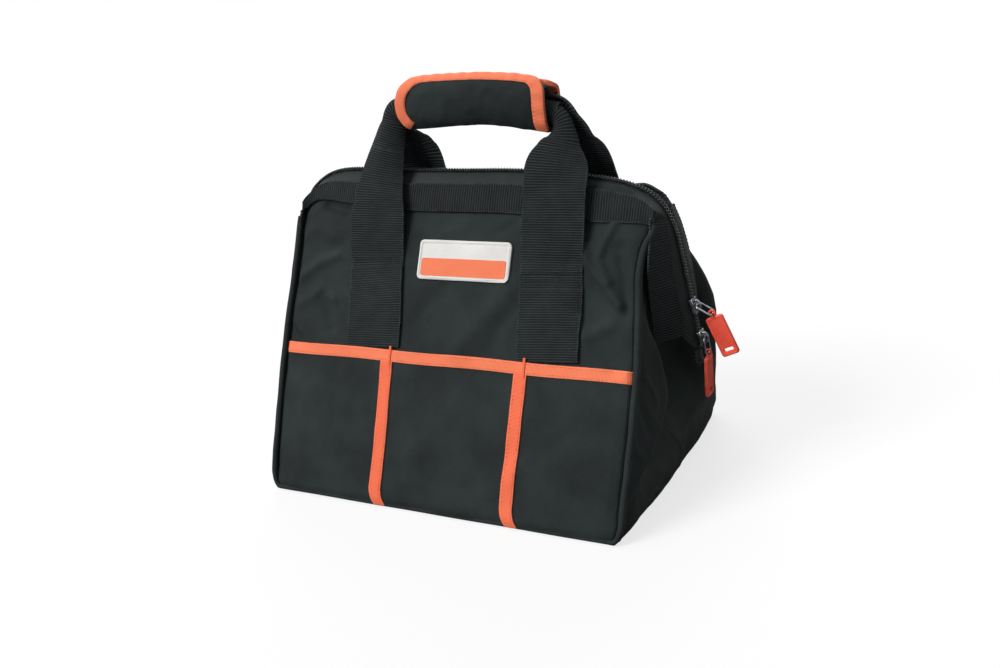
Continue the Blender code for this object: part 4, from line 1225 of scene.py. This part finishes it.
def make_zip_tape(face, chain, top, low):
    """The zip's tape, from under the band to the coils."""
    word = WORDS[face]
    share = np.linspace(0, 1, 9)[None, :, None]
    under = top * 0.86 + low * 0.14
    tape = (chain + (0, face * 0.2, 0))[:, None] * share + under[:, None] * (1 - share)
    out = facing(tape, len(tape) // 2, (0, face, 0))
    tape = tape - out * (0.9 * (1 - share) + 0.5 * share) + out * 0.4 * np.sin(share * math.pi)
    uv = stacked(length_along(chain)[:, None], share[..., 0] * 11)
    part = sheet_part(tape, tape - out * TAPE_THICK, uv)
    bend_to_base(make(f"{word}_tape_cloth", part, TAPE, None, f"{word}_zip_tape"), face)


COIL_PITCH = 2.35


def make_coil(face, chain):
    """A row of coils on its cord, half a pitch off the other row, with stitches beside it."""
    word = WORDS[face]
    line = even(chain * (1, 0, 1), 4200)
    run = length_along(line)
    tangent = tangents(line)
    up = stacked(-tangent[:, 2], 0, tangent[:, 0])
    turn = 2 * math.pi * run / COIL_PITCH + (0 if face == FRONT else math.pi)
    coil = line + up * (0.55 + 0.95 * np.sin(turn))[:, None]
    coil[:, 1] += face * (1.15 + 1.3 * np.cos(turn))
    cord = even(line + up * 0.55 + (0, face * 1.5, 0), 600)
    part = join_parts([tube_part(coil, 0.46, 5, up=(0, 1, 0.02)), tube_part(cord, 0.5, 6)])
    nodes = [f"{word}_zip_teeth"] + (["side_chain_left", "side_chain_right"] if face == FRONT else [])
    bend_to_base(make(f"{word}_coil", part, COIL, None, *nodes), face)
    seam = even(line + up * 0.35 + (0, face * 3.1, 0), 900)
    part = stitch_part(seam, (0.02, 0, 1), COIL_PITCH, 1.7, 0.26)
    bend_to_base(make(f"{word}_coil_stitches", part, THREAD, None), face)


for face in (FRONT, BACK):
    chain, top, low = rim_lines(face)
    middle = len(chain) // 2
    banded = slice(middle - BAND_END, middle + BAND_END + 1)
    make_band(face, top[banded], low[banded])
    make_zip_tape(face, chain, top, low)
    make_coil(face, chain)

ZIP_TOP, ZIP_END = np.array((154.0, 0, 206.0)), np.array((175.0, 0, 104.0))
DOWN = unit(ZIP_END - ZIP_TOP)
OUTWARD = np.array((-DOWN[2], 0, DOWN[0]))


def make_zip_end(name):
    """A folded tab of webbing at the zip's lower end."""
    y = np.linspace(-1, 1, 15)[:, None]
    run = np.linspace(0, 1, 26)[None]
    reach = 11.5 * np.sin(run * math.pi / 2) ** 0.9 - 1.0
    depth = 1.4 + 0.9 * np.sin(run * math.pi) + 0.5 * y**2
    spot = ZIP_END + DOWN * reach[..., None] - OUTWARD * depth[..., None]
    spot = spot + np.array((0, 1, 0)) * (y * (6.2 - 0.8 * run**4))[..., None]
    inner = spot - facing(spot, slice(None), (1, 0, 0)) * 1.9
    flip = (-1 if name == "left" else 1, 1, 1)
    part = sheet_part(spot * flip, inner * flip, stacked(y * 6.2, run * 12))
    make(f"zip_end_{name}", part, WEBBING, "base", f"zip_end_tab_{name}")


for name in ("left", "right"):
    make_zip_end(name)

# %% [markdown]
# ## The carrying straps
#
# Each strap lies flat on its wall, is sewn across under the band, and stands off from there up
# to the grip. On the way it narrows as its edges roll back. It is cut in two above the mouth,
# where the free part's hinge has been passed.

# %%
LIFTS = smooth_line([0, 100, 186, 194, 204, 216, 230, 246], [1.9, 1.9, 1.9, 2.6, 4.6, 6.9, 9.0, 10.8])
HALF_STRAP = 24.4
CUT_HEIGHT = 252.0
STRAP_STARTS = {FRONT: 120.6, BACK: 3.0}
STRAP_THICK = 1.6
LET_GO, LET_GO_OVER = 206.0, 22.0  # where a strap stops following the wall's relief
BAR_DEPTH = 0.55  # how deep the strap is pressed where it is sewn across
# For each strap: where its run on the wall ends, the u of its middle at five heights, between
# which heights it is sewn across, and its free stations. A station gives X, Y, Z, half the
# width, the edges' roll in degrees and its depth.
STRAPS = {
    ("front", "left"): (
        220, smooth_line([119, 150, 187, 222, 250], [-66.2, -67.8, -70.9, -71.4, -70.6]), (182, 192),
        [
            (-71.4, -24.2, 212, 23.2, 4, 0.6), (-71.2, -21.2, 221, 21.4, 8, 1.2),
            (-70.4, -18.0, 230, 19.4, 16, 2.2), (-68.8, -14.8, 241, 17.0, 30, 3.6),
            (-66.6, -12.1, 252, 14.8, 44, 5.0), (-64.2, -9.7, 262, 13.0, 60, 6.2),
            (-61.8, -7.8, 270, 11.4, 74, 6.8), (-60.4, -6.6, 276.6, 9.4, 86, 6.8),
            (-57.4, -6.0, 280.6, 8.4, 92, 6.4), (-52.4, -5.8, 282.2, 7.8, 92, 6.0),
            (-44.0, -5.6, 282.6, 7.6, 92, 6.0),
        ],
    ),
    ("front", "right"): (
        248, smooth_line([119, 150, 187, 222, 250], [81.6, 79.6, 77.9, 77.4, 76.9]), (172, 185),
        [
            (77.2, -15.8, 237, 24.6, 8, 1.0), (77.8, -13.8, 244.8, 22.9, 20, 2.8),
            (78.9, -11.9, 252.6, 17.8, 44, 5.2), (80.2, -10.1, 259.6, 12.2, 66, 6.6),
            (80.0, -8.6, 266.0, 8.8, 82, 6.8), (77.8, -7.4, 271.4, 7.6, 90, 6.4),
            (73.6, -6.6, 275.0, 7.2, 92, 6.0), (67.0, -6.2, 277.4, 7.2, 92, 6.0),
            (58.0, -6.0, 278.8, 7.2, 92, 6.0),
        ],
    ),
    ("back", "left"): (
        248, smooth_line([0, 120, 187, 222, 250], [-66.5, -66.0, -62.0, -57.0, -55.2]), (178, 190),
        [
            (-55.0, 15.6, 240, 24.3, 6, 1.0), (-56.6, 13.0, 248.6, 22.6, 20, 2.6),
            (-59.0, 11.2, 255.4, 19.0, 40, 4.4), (-61.2, 9.6, 262, 15.2, 60, 6.0),
            (-62.8, 8.2, 268.6, 11.6, 76, 6.6), (-62.6, 7.0, 275.0, 9.2, 88, 6.4),
            (-59.6, 6.4, 279.8, 8.0, 92, 6.0), (-54.8, 6.1, 281.8, 7.4, 92, 5.8),
            (-46.0, 6.0, 282.6, 7.0, 92, 5.6),
        ],
    ),
    ("back", "right"): (
        248, smooth_line([0, 120, 187, 222, 250], [82.5, 83.0, 85.0, 86.6, 85.6]), (178, 190),
        [
            (84.8, 15.8, 238, 24.2, 8, 1.0), (84.0, 13.4, 247.6, 22.4, 18, 2.6),
            (83.2, 11.4, 255.6, 18.4, 40, 4.8), (82.8, 9.6, 263, 14.6, 58, 6.0),
            (81.0, 8.0, 270, 11.4, 74, 6.6), (78.6, 6.9, 276, 9.4, 86, 6.4),
            (74.6, 6.3, 279.6, 8.2, 92, 6.0), (68.8, 6.1, 280.8, 7.4, 92, 5.8),
            (60.0, 6.0, 281.4, 7.0, 92, 5.6),
        ],
    ),
}


def on_wall(face, stop, middle):
    """Stations of a strap's run on the wall."""
    rows = []
    for v in np.arange(STRAP_STARTS[face], stop, 6.0):
        lift = float(LIFTS(v)) + float(swell(face, v))
        rows.append((*plane(face, float(middle(v)), lift, v), HALF_STRAP, 2.0, 0.4))
    return rows


def strap_surface(face, stations, bar):
    """A strap's outer side, its map, its middle line and how far up the wall each row is."""
    line = even(spline(stations, 900), 300 if face == FRONT else 420)
    centre, half, depth = line[:, :3], line[:, 3:4], line[:, 5:]
    roll = np.radians(np.maximum(line[:, 4:5], 1.0))
    tangent = tangents(centre)
    across = unit(np.cross((0, 1, 0), tangent))
    out = -face * np.cross(across, tangent)
    q = np.linspace(-1, 1, 33)[None]
    sideways = half * np.sin(q * roll) / np.sin(np.minimum(roll, math.pi / 2))
    back = -depth * (1 - np.cos(q * roll)) / (1 - np.cos(roll))
    u = centre[:, :1] + sideways
    v = centre[:, 2:] * COS + (HALF_DEPTH - np.abs(centre[:, 1:2])) * SIN
    sewn = np.clip((LET_GO - v) / LET_GO_OVER, 0, 1)
    ground = (relief(face, u, np.minimum(v, 240)) - swell(face, v)) * sewn
    pressed = -BAR_DEPTH * np.clip((v - bar[0]) / 2, 0, 1) * np.clip((bar[1] - v) / 2, 0, 1)
    lumps = 0.35 * rough(stacked(u, v, face), 19.0) * (1 - sewn)
    lift = back + ground + pressed * sewn + lumps
    grid = centre[:, None] + across[:, None] * sideways[..., None] + out[:, None] * lift[..., None]
    return grid, stacked(q * HALF_STRAP, length_along(centre)[:, None]), centre, v[:, 0]


def at_hinge(face):
    """Where a strap goes over from its wall to its free part."""
    hinge = wall(face, 0, 6.0, 250.6)
    aim = unit(np.array((0, face * 5.0, 279.6)) - hinge)
    return {"start": tuple((hinge - aim * 14) * MM), "end": tuple((hinge + aim * 19) * MM)}


def strap_stitches(grid, out, v, bar):
    """Stitches along both edges up to the sewn bar, and five rows across it."""
    above = grid + out * 0.1
    sewn = v < bar[0]
    lines = [stitch_part(above[sewn, column], out[sewn, column], *EDGE_STITCH) for column in (1, 30)]
    for height in np.linspace(bar[0] + 0.6, bar[1] - 0.6, 5):
        row = int(np.argmin(np.abs(v - height)))
        lines.append(stitch_part(above[row, 2:-2], out[row, 2:-2], *BAR_STITCH))
    return join_parts(lines)


def make_strap(word, name, stop, middle, bar, free):
    """One strap: its run on the wall up to the cut, its free part and its stitches."""
    face = FRONT if word == "front" else BACK
    grid, uv, centre, v = strap_surface(face, on_wall(face, stop, middle) + free, bar)
    out = facing(grid, slice(0, len(grid) // 3), (0, face, 0))
    inner = grid - out * STRAP_THICK
    cut = int(np.argmax(centre[:, 2] > CUT_HEIGHT))
    part = sheet_part(grid[: cut + 1], inner[: cut + 1], uv[: cut + 1])
    made = make(f"{word}_strap_cloth_{name}", part, WEBBING, None, f"{word}_strap_{name}")
    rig.blend(made, f"{word}_wall", f"{word}_legs", **at_hinge(face))
    part = sheet_part(grid[cut:], inner[cut:], uv[cut:])
    made = make(f"{word}_strap_upper_{name}", part, WEBBING, None, f"{word}_leg_{name}")
    if face == FRONT:
        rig.blend(made, "front_legs", "grip", start=(0, -0.008, 0.262), end=(0, -0.0052, 0.2785))
    else:
        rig.ride(made, "back_legs")
    make(f"{word}_strap_stitches_{name}", strap_stitches(grid, out, v, bar), THREAD, f"{word}_wall")


for (word, name), strap in STRAPS.items():
    make_strap(word, name, *strap)

# %% [markdown]
# ## The grip
#
# Webbing rolled in a padded wrap. The wrap's two halves meet along the top, and both are
# edged with orange tape. A place on a half is given by its x and its run from the lower fold
# toward the top.

# %%
GRIP_MIDDLE = 286.2
EDGING_OUT, EDGING_IN = -0.9, 8.0  # how far the edging's tape reaches from the rim
HALF_THICK, HALF_TALL = 12.4, 19.3  # of the wrap's section
BACK_RISE = 16.2  # how far the back half reaches above the middle
SQUARENESS = 2 / 2.7  # of the section: 1 would be an ellipse


def sag(x):
    """How far the grip hangs down at this place along it."""
    x = np.asarray(x, float)
    return -np.where(x > 5, 0.00125, 0.0004) * (x - 5) ** 2


def signed_power(value):
    return np.sign(value) * np.abs(value) ** SQUARENESS


class Half:
    """One half of the wrap, between two angles of its section and a left and a right end."""

    def __init__(self, face, low, high, left, right, left_round, right_round, sweep):
        self.face, self.left, self.right = face, left, right
        self.left_round, self.right_round, self.sweep = left_round, right_round, sweep
        turn = np.radians(np.linspace(low, high, 400))
        rise = np.where(np.sin(turn) > 0, HALF_TALL if face == FRONT else BACK_RISE, HALF_TALL)
        y = face * HALF_THICK * signed_power(np.cos(turn))
        self.line = even(stacked(0, y, GRIP_MIDDLE + rise * signed_power(np.sin(turn))), 200)
        self.run = length_along(self.line)
        self.total = self.run[-1]
        tangent = tangents(self.line)
        out = unit(stacked(0, tangent[:, 2], -tangent[:, 1]))
        self.out = out if out[100, 1] * face > 0 else -out

    def at(self, x, run, lift):
        """The place in space, lifted off the wrap's section."""
        x, run, lift = np.broadcast_arrays(x, run, lift)
        spot = sampled(self.line, self.run, run)
        pinch = 1 - 0.055 * np.abs((x - 9) / 61.0) ** 5
        wavy = 0.8 * np.sin(x / 17 + 0.6) * np.clip((288 - spot[..., 2]) / 20, 0, 1)
        z = GRIP_MIDDLE + (spot[..., 2] - GRIP_MIDDLE) * pinch + wavy + sag(x)
        return stacked(x, spot[..., 1] * pinch, z) + sampled(self.out, self.run, run) * lift[..., None]

    def ends(self, run):
        """The x of the left and the right end at each run, with round upper corners."""
        over = np.maximum(run - (self.total - self.left_round), 0)
        a = self.left + self.left_round - np.sqrt(np.maximum(self.left_round**2 - over**2, 0.0))
        a = a + self.sweep * np.clip(1 - run / 16, 0, 1) ** 2
        over = np.maximum(run - (self.total - self.right_round), 0)
        b = self.right - self.right_round + np.sqrt(np.maximum(self.right_round**2 - over**2, 0.0))
        return a, b

    def padding(self):
        """The padded cloth, thin at its edges and lumpy between them."""
        run = (self.total - 0.02) * eased(0, 70)[:, None]
        a, b = self.ends(run)
        x = a + (b - a) * (0.5 + 0.5 * eased(-1, 130))[None]
        run = np.broadcast_to(run, x.shape)
        near = np.minimum.reduce([x - a, b - x, self.total - run])
        soft = np.clip(near / 9, 0, 1)
        lumps = 0.55 * rough(stacked(x, run, self.face), 15.0) + 0.2 * rough(stacked(x, run, 0), 6.0)
        puff = 0.9 * np.sin(np.clip(near / 18, 0, 1) * math.pi / 2) + lumps * soft - 0.5
        return sheet_part(self.at(x, run, puff), self.at(x, run, puff - 2.0 - 0.6 * soft), stacked(x, run))

    def rim(self):
        """Places up the left end, along the top and down the right end, and the way inward."""
        up = np.linspace(0.4, self.total - 0.02, 150)
        a, b = self.ends(up)
        top = stacked(np.linspace(a[-1], b[-1], 120)[1:-1], self.total - 0.02)
        path = np.vstack([stacked(a, up), top, stacked(b, up)[::-1]])
        path = even(np.hstack([path, np.zeros((len(path), 1))]), 330)[:, :2]
        tangent = tangents(path)
        inward = np.pad(stacked(tangent[:, 1], -tangent[:, 0]), ((4, 4), (0, 0)), mode="edge")
        smooth = [np.convolve(inward[:, k], np.ones(9) / 9, "valid") for k in (0, 1)]
        return path, unit(np.stack(smooth, 1))

    def edging(self):
        """The tape folded over the rim, and the stitches along its inner side."""
        path, inward = self.rim()
        reach = np.linspace(EDGING_OUT, EDGING_IN, 12)
        middle, half = (EDGING_OUT + EDGING_IN) / 2, (EDGING_IN - EDGING_OUT) / 2
        spots = path[:, None] + inward[:, None] * reach[None, :, None]
        along = np.linalg.norm(np.diff(path, axis=0, prepend=path[:1]), axis=1).cumsum()[:, None]
        ripple = 0.16 * np.sin(along / 1.7) + 0.3 * rough(stacked(along, 0, 0), 9.0)
        lift = 0.75 + 0.45 * (1 - ((reach - middle) / half) ** 4)[None] + ripple
        x, run = spots[..., 0], np.clip(spots[..., 1], 0, self.total)
        over = np.maximum(spots[..., 1] - self.total, 0)
        outer, inner = self.at(x, run, lift - over * 0.5), self.at(x, run, -2.5)
        tape = sheet_part(outer, inner, stacked(along, reach[None]))
        row = self.at(x[:, 10], run[:, 10], lift[:, 10] + 0.1)
        out = self.at(x[:, 10], run[:, 10], lift[:, 10] + 1.1) - row
        return tape, stitch_part(row, out, *TAPE_STITCH)


def make_half(body, half, cloth_node, tape_node):
    made = make(f"{body}_padding", half.padding(), CLOTH, body, cloth_node)
    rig.padded(made, fill=0.5)
    tape, stitches = half.edging()
    make(f"{body}_edging", tape, ORANGE_PALE, body, tape_node)
    make(f"{body}_stitches", stitches, THREAD_ORANGE, body)


def make_grip_fold():
    """The wrap's lower fold, which joins the back half to the fold line of the front half."""
    x = np.linspace(-44, 69, 90)[:, None]
    turn = np.linspace(0, 1, 20)[None]
    z = GRIP_MIDDLE - 19.0 + 1.08 * (1 - np.sin(turn * math.pi)) + 0.8 * np.sin(x / 17 + 0.6) + sag(x)
    grid = stacked(x, -6.8 + 13.6 * turn, z)
    make("grip_fold", sheet_part(grid, grid + (0, 0, 2.2), stacked(x, turn * 14)), CLOTH, "grip")


def make_grip_filling():
    """Foam round the rolled webbing."""
    x = np.linspace(-48, 68, 40)[:, None]
    turn = np.linspace(0, 2 * math.pi, 40)[None]
    outer, inner = (
        stacked(x, wide * np.cos(turn), GRIP_MIDDLE + tall * np.sin(turn) + sag(x))
        for wide, tall in ((9.2, 14.0), (7.4, 12.0))
    )
    made = make("grip_filling", sheet_part(outer, inner, stacked(x, turn * 12)), FOAM, "grip", "grip_foam")
    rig.padded(made, fill=0.7)


def make_webbing_roll():
    """The webbing inside, rolled up."""
    turn = np.linspace(0, 2 * math.pi * 1.9, 90)[None]
    x = np.linspace(-60, 77.5, 120)[:, None]
    radius = 2.0 + 4.6 * turn / turn.max()
    turned = turn + 0.25 * np.sin(x / 23)
    y = 0.4 + radius * 0.9 * np.cos(turned)
    z = 281.5 + sag(x) + radius * 1.25 * np.sin(turned)
    grid = stacked(x + 0.6 * np.sin(turn), y, z)
    part = sheet_part(grid, grid - 1.35 * normals(grid), stacked(turn * 6, x))
    make("grip_webbing_roll", part, WEBBING, "grip", "grip_strap_front", "grip_strap_back")


make_half("flap", Half(FRONT, -62, 83.5, -50.5, 70.0, 25.0, 15.0, 8.0), "wrap_flap", "flap_binding")
make_half("grip", Half(BACK, -62, 86.0, -48.0, 73.0, 14.0, 9.0, 0.0), "grip_wrap", "wrap_binding")
make_grip_fold()
make_grip_filling()
make_webbing_roll()

# %% [markdown]
# ## Sliders, rings and tabs
#
# Each is built upright about its own pivot and then put in its place on the right side.


# %%
def place_frame(spot, tilt):
    """A frame at a place on the right side, turned about Y so that its z leans inward by tilt."""
    return Matrix.Translation(Vector(spot)) @ Matrix.Rotation(-tilt, 4, "Y")


def put(parts, matrix):
    """The parts as one, moved by the matrix."""
    points, faces, maps = join_parts(parts)
    turn = np.array(matrix)
    return points @ turn[:3, :3].T + turn[:3, 3], faces, maps


def slab_part(outline, low, high, hole=None, soft=0.35):
    """A flat shape of y and z points between two x places, with softened edges."""
    shape = bmesh.new()
    edges = []
    for ring in [outline] + ([hole] if hole is not None else []):
        spots = [shape.verts.new((low, a, b)) for a, b in ring]
        edges += [shape.edges.new((spots[k - 1], spots[k])) for k in range(len(spots))]
    bmesh.ops.triangle_fill(shape, use_beauty=True, edges=edges)
    bmesh.ops.dissolve_limit(shape, angle_limit=0.02, verts=shape.verts, edges=shape.edges)
    grown = bmesh.ops.extrude_face_region(shape, geom=shape.faces[:])
    lifted = [g for g in grown["geom"] if isinstance(g, bmesh.types.BMVert)]
    bmesh.ops.translate(shape, verts=lifted, vec=(high - low, 0, 0))
    bmesh.ops.recalc_face_normals(shape, faces=shape.faces)
    sharp = [e for e in shape.edges if e.is_manifold and e.calc_face_angle(0) > 0.9]
    round_off = {"offset": soft, "segments": 3, "profile": 0.5, "affect": "EDGES", "clamp_overlap": True}
    bmesh.ops.bevel(shape, geom=sharp, **round_off)
    bmesh.ops.triangulate(shape, faces=[f for f in shape.faces if len(f.verts) > 4])
    shape.verts.index_update()
    points = np.array([v.co for v in shape.verts])
    faces = [tuple(v.index for v in f.verts) for f in shape.faces]
    shape.free()
    return points, faces, points[:, 1:]


def box_wire(x, half_a, low_b, high_b, radius, steps, joint, count):
    """A closed, evenly spaced path round a box at one x, which starts and ends at the joint."""
    ring = [(x, a, b) for a, b in round_box(half_a, low_b, high_b, radius, steps)]
    return even(ring + [(x, half_a, joint)], count)[:-1]


def slider_parts():
    """The slider's waisted plate, its two rails and the arch that holds the ring."""
    half = [(4.7, 5.4), (4.2, 5.9), (1.6, 6.0)]
    low = [(4.6, 1.0), (3.6, -3.2), (3.3, -5.4), (2.6, -5.9)]
    plate = half + [(0, 5.2)] + [(-a, b) for a, b in half[::-1]] + [(-a, b) for a, b in low] + low[::-1]
    parts = [slab_part(plate, 1.65, 3.1, soft=0.3)]
    for sign in (-1, 1):
        rail = [(sign * 4.7, 5.3), (sign * 3.9, 5.5), (sign * 2.8, -5.5), (sign * 3.4, -5.4)]
        parts.append(slab_part(rail[::sign], 0.2, 2.0, soft=0.2))
    foot = [(2.6, 3.6), (4.2, 3.5), (5.6, 2.6), (6.35, 0.8)]
    arch = [(x, 0, -z) for x, z in foot] + [(x, 0, z) for x, z in foot[::-1]]
    return parts + [tube_part(even(spline(arch, 60), 40), 0.95, 10, up=(0, 1, 0), flatten=1.25)]


def tab_parts(turned):
    """The rubber tab with its slot and raised rims, and the eye and neck that hold it."""
    hole = round_box(3.6, -30.0, -27.5, 1.1)[::-1]
    parts = [slab_part(round_box(6.6, -33.3, -2.6, 1.9), -1.25, 1.25, hole, 0.5)]
    for x in (-1.25, 1.25):
        parts.append(loop_part(box_wire(x, 5.6, -32.2, -3.8, 1.3, 5, -5.1, 90), 0.42, 6))
    tab = put(parts, Matrix.Rotation(math.radians(turned), 4, "Z"))
    circle = [(2.0 * math.cos(t), 0, 2.0 * math.sin(t)) for t in np.linspace(0, 2 * math.pi, 41)]
    eye = loop_part(even(circle, 41)[:-1], 0.85, 10)
    neck = tube_part([(0, 0, -2.0), (0, 0, -2.6), (0, 0, -3.6), (0, 0, -4.6)], [1.25, 1.35, 1.5, 1.2], 12)
    return [tab, eye, neck]


SIDE_LEAN = math.atan2(ZIP_END[0] - ZIP_TOP[0], ZIP_TOP[2] - ZIP_END[2])
RING_REACH = 11.5
# The height of the slider, the ring's pivot, the tilt of the ring and of the tab, and how far
# the tab is turned
SLIDERS = {
    "upper": (136.0, (173.015, 0, 136.948), 62, 24, 90),
    "lower": (112.0, (177.956, 0, 112.948), 8, 0, 0),
}
for word, (height, pin, ring_tilt, tab_tilt, turned) in SLIDERS.items():
    share = (ZIP_TOP[2] - height) / (ZIP_TOP[2] - ZIP_END[2])
    seat = place_frame(ZIP_TOP + (ZIP_END - ZIP_TOP) * share, SIDE_LEAN)
    make(f"slider_body_{word}", put(slider_parts(), seat), METAL, f"slider_{word}", f"slider_{word}")
    tilt = math.radians(ring_tilt)
    wire = loop_part(box_wire(0, 5.2, -11.9, 0.4, 2.2, 6, -1.8, 72), 0.72, 10)
    part = put([wire], place_frame(pin, tilt))
    make(f"pull_wire_{word}", part, METAL, f"ring_{word}", f"pull_ring_{word}", flat_angle=70)
    end = Vector(pin) + Vector((math.sin(tilt), 0, -math.cos(tilt))) * RING_REACH
    part = put(tab_parts(turned), place_frame(end, math.radians(tab_tilt)))
    make(f"pull_rubber_{word}", part, RUBBER, f"tab_{word}", f"pull_tab_{word}")

# %% [markdown]
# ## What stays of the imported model

# %%
frame["nodes"]["base_board"].material_slots[0].material = BOARD

# %% [markdown]
# ## Floor, light and camera
#
# The floor and the backdrop look brighter to the camera than they light the bag.

# %%
floor = bpy.data.meshes.new("floor")
corners = [(x, y, -0.0004) for x, y in ((-6, -6), (6, -6), (6, 6), (-6, 6))]
floor.from_pydata(corners, [], [(0, 1, 2, 3)])
floor = bpy.data.objects.new("floor", floor)
bpy.context.collection.objects.link(floor)
FLOOR, tree, shader = start_look("pale_floor", 0.9, specular=0.1)
shader.inputs["Base Color"].default_value = (0.24, 0.24, 0.24, 1)
seen = add(tree, "ShaderNodeLightPath").outputs["Is Camera Ray"]
shader.inputs["Emission Color"].default_value = (1, 1, 1, 1)
tree.links.new(maths(tree, "MULTIPLY", seen, 0.75), shader.inputs["Emission Strength"])
floor.data.materials.append(FLOOR)
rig.stage(floor)

world = bpy.data.worlds.new("studio")
bpy.context.scene.world = world
world.use_nodes = True
tree = world.node_tree
backdrop = tree.nodes["Background"]
backdrop.inputs["Color"].default_value = (1.0, 1.0, 1.0, 1)
path = add(tree, "ShaderNodeLightPath")
direct = maths(tree, "MAXIMUM", path.outputs["Is Camera Ray"], path.outputs["Is Glossy Ray"])
direct = maths(tree, "MAXIMUM", direct, path.outputs["Is Transmission Ray"])
tree.links.new(ranged(tree, direct, To_Min=0.12, To_Max=1.0), backdrop.inputs["Strength"])


def sun(name, toward, spread, strength):
    """Soft light from a wide part of the sky, in the direction given."""
    light = bpy.data.lights.new(name, "SUN")
    light.angle = math.radians(spread)
    light.energy = strength
    made = bpy.data.objects.new(name, light)
    bpy.context.collection.objects.link(made)
    made.rotation_euler = Vector(toward).to_track_quat("Z", "Y").to_euler()


sun("key", (-0.55, -0.72, 0.68), 30, 2.85)
sun("top", (-0.25, 0.1, 1.0), 50, 0.7)
sun("rear", (-0.4, 0.9, 0.45), 60, 1.5)

camera = bpy.data.objects.new("camera", bpy.data.cameras.new("camera"))
bpy.context.collection.objects.link(camera)
camera.data.sensor_width = 36.0
camera.data.lens = 37.8
camera.data.clip_start, camera.data.clip_end = 0.05, 20
right, up, back = (0.8887, 0.4480, -0.0975), (-0.0708, 0.3442, 0.9362), (0.4530, -0.8251, 0.3376)
turn = Matrix((right, up, back)).transposed()
camera.matrix_world = Matrix.Translation((0.3876, -0.6859, 0.3833)) @ turn.to_4x4()
bpy.context.scene.camera = camera
bpy.context.scene.view_settings.view_transform = "Standard"
bpy.context.scene.view_settings.look = "None"

# %%
sizes = {
    "cad": [list(corner) for corner in cad_box],
    "visual": [list(corner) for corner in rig.bounds()],
}
with open("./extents.json", "w") as out_file:
    json.dump(sizes, out_file)
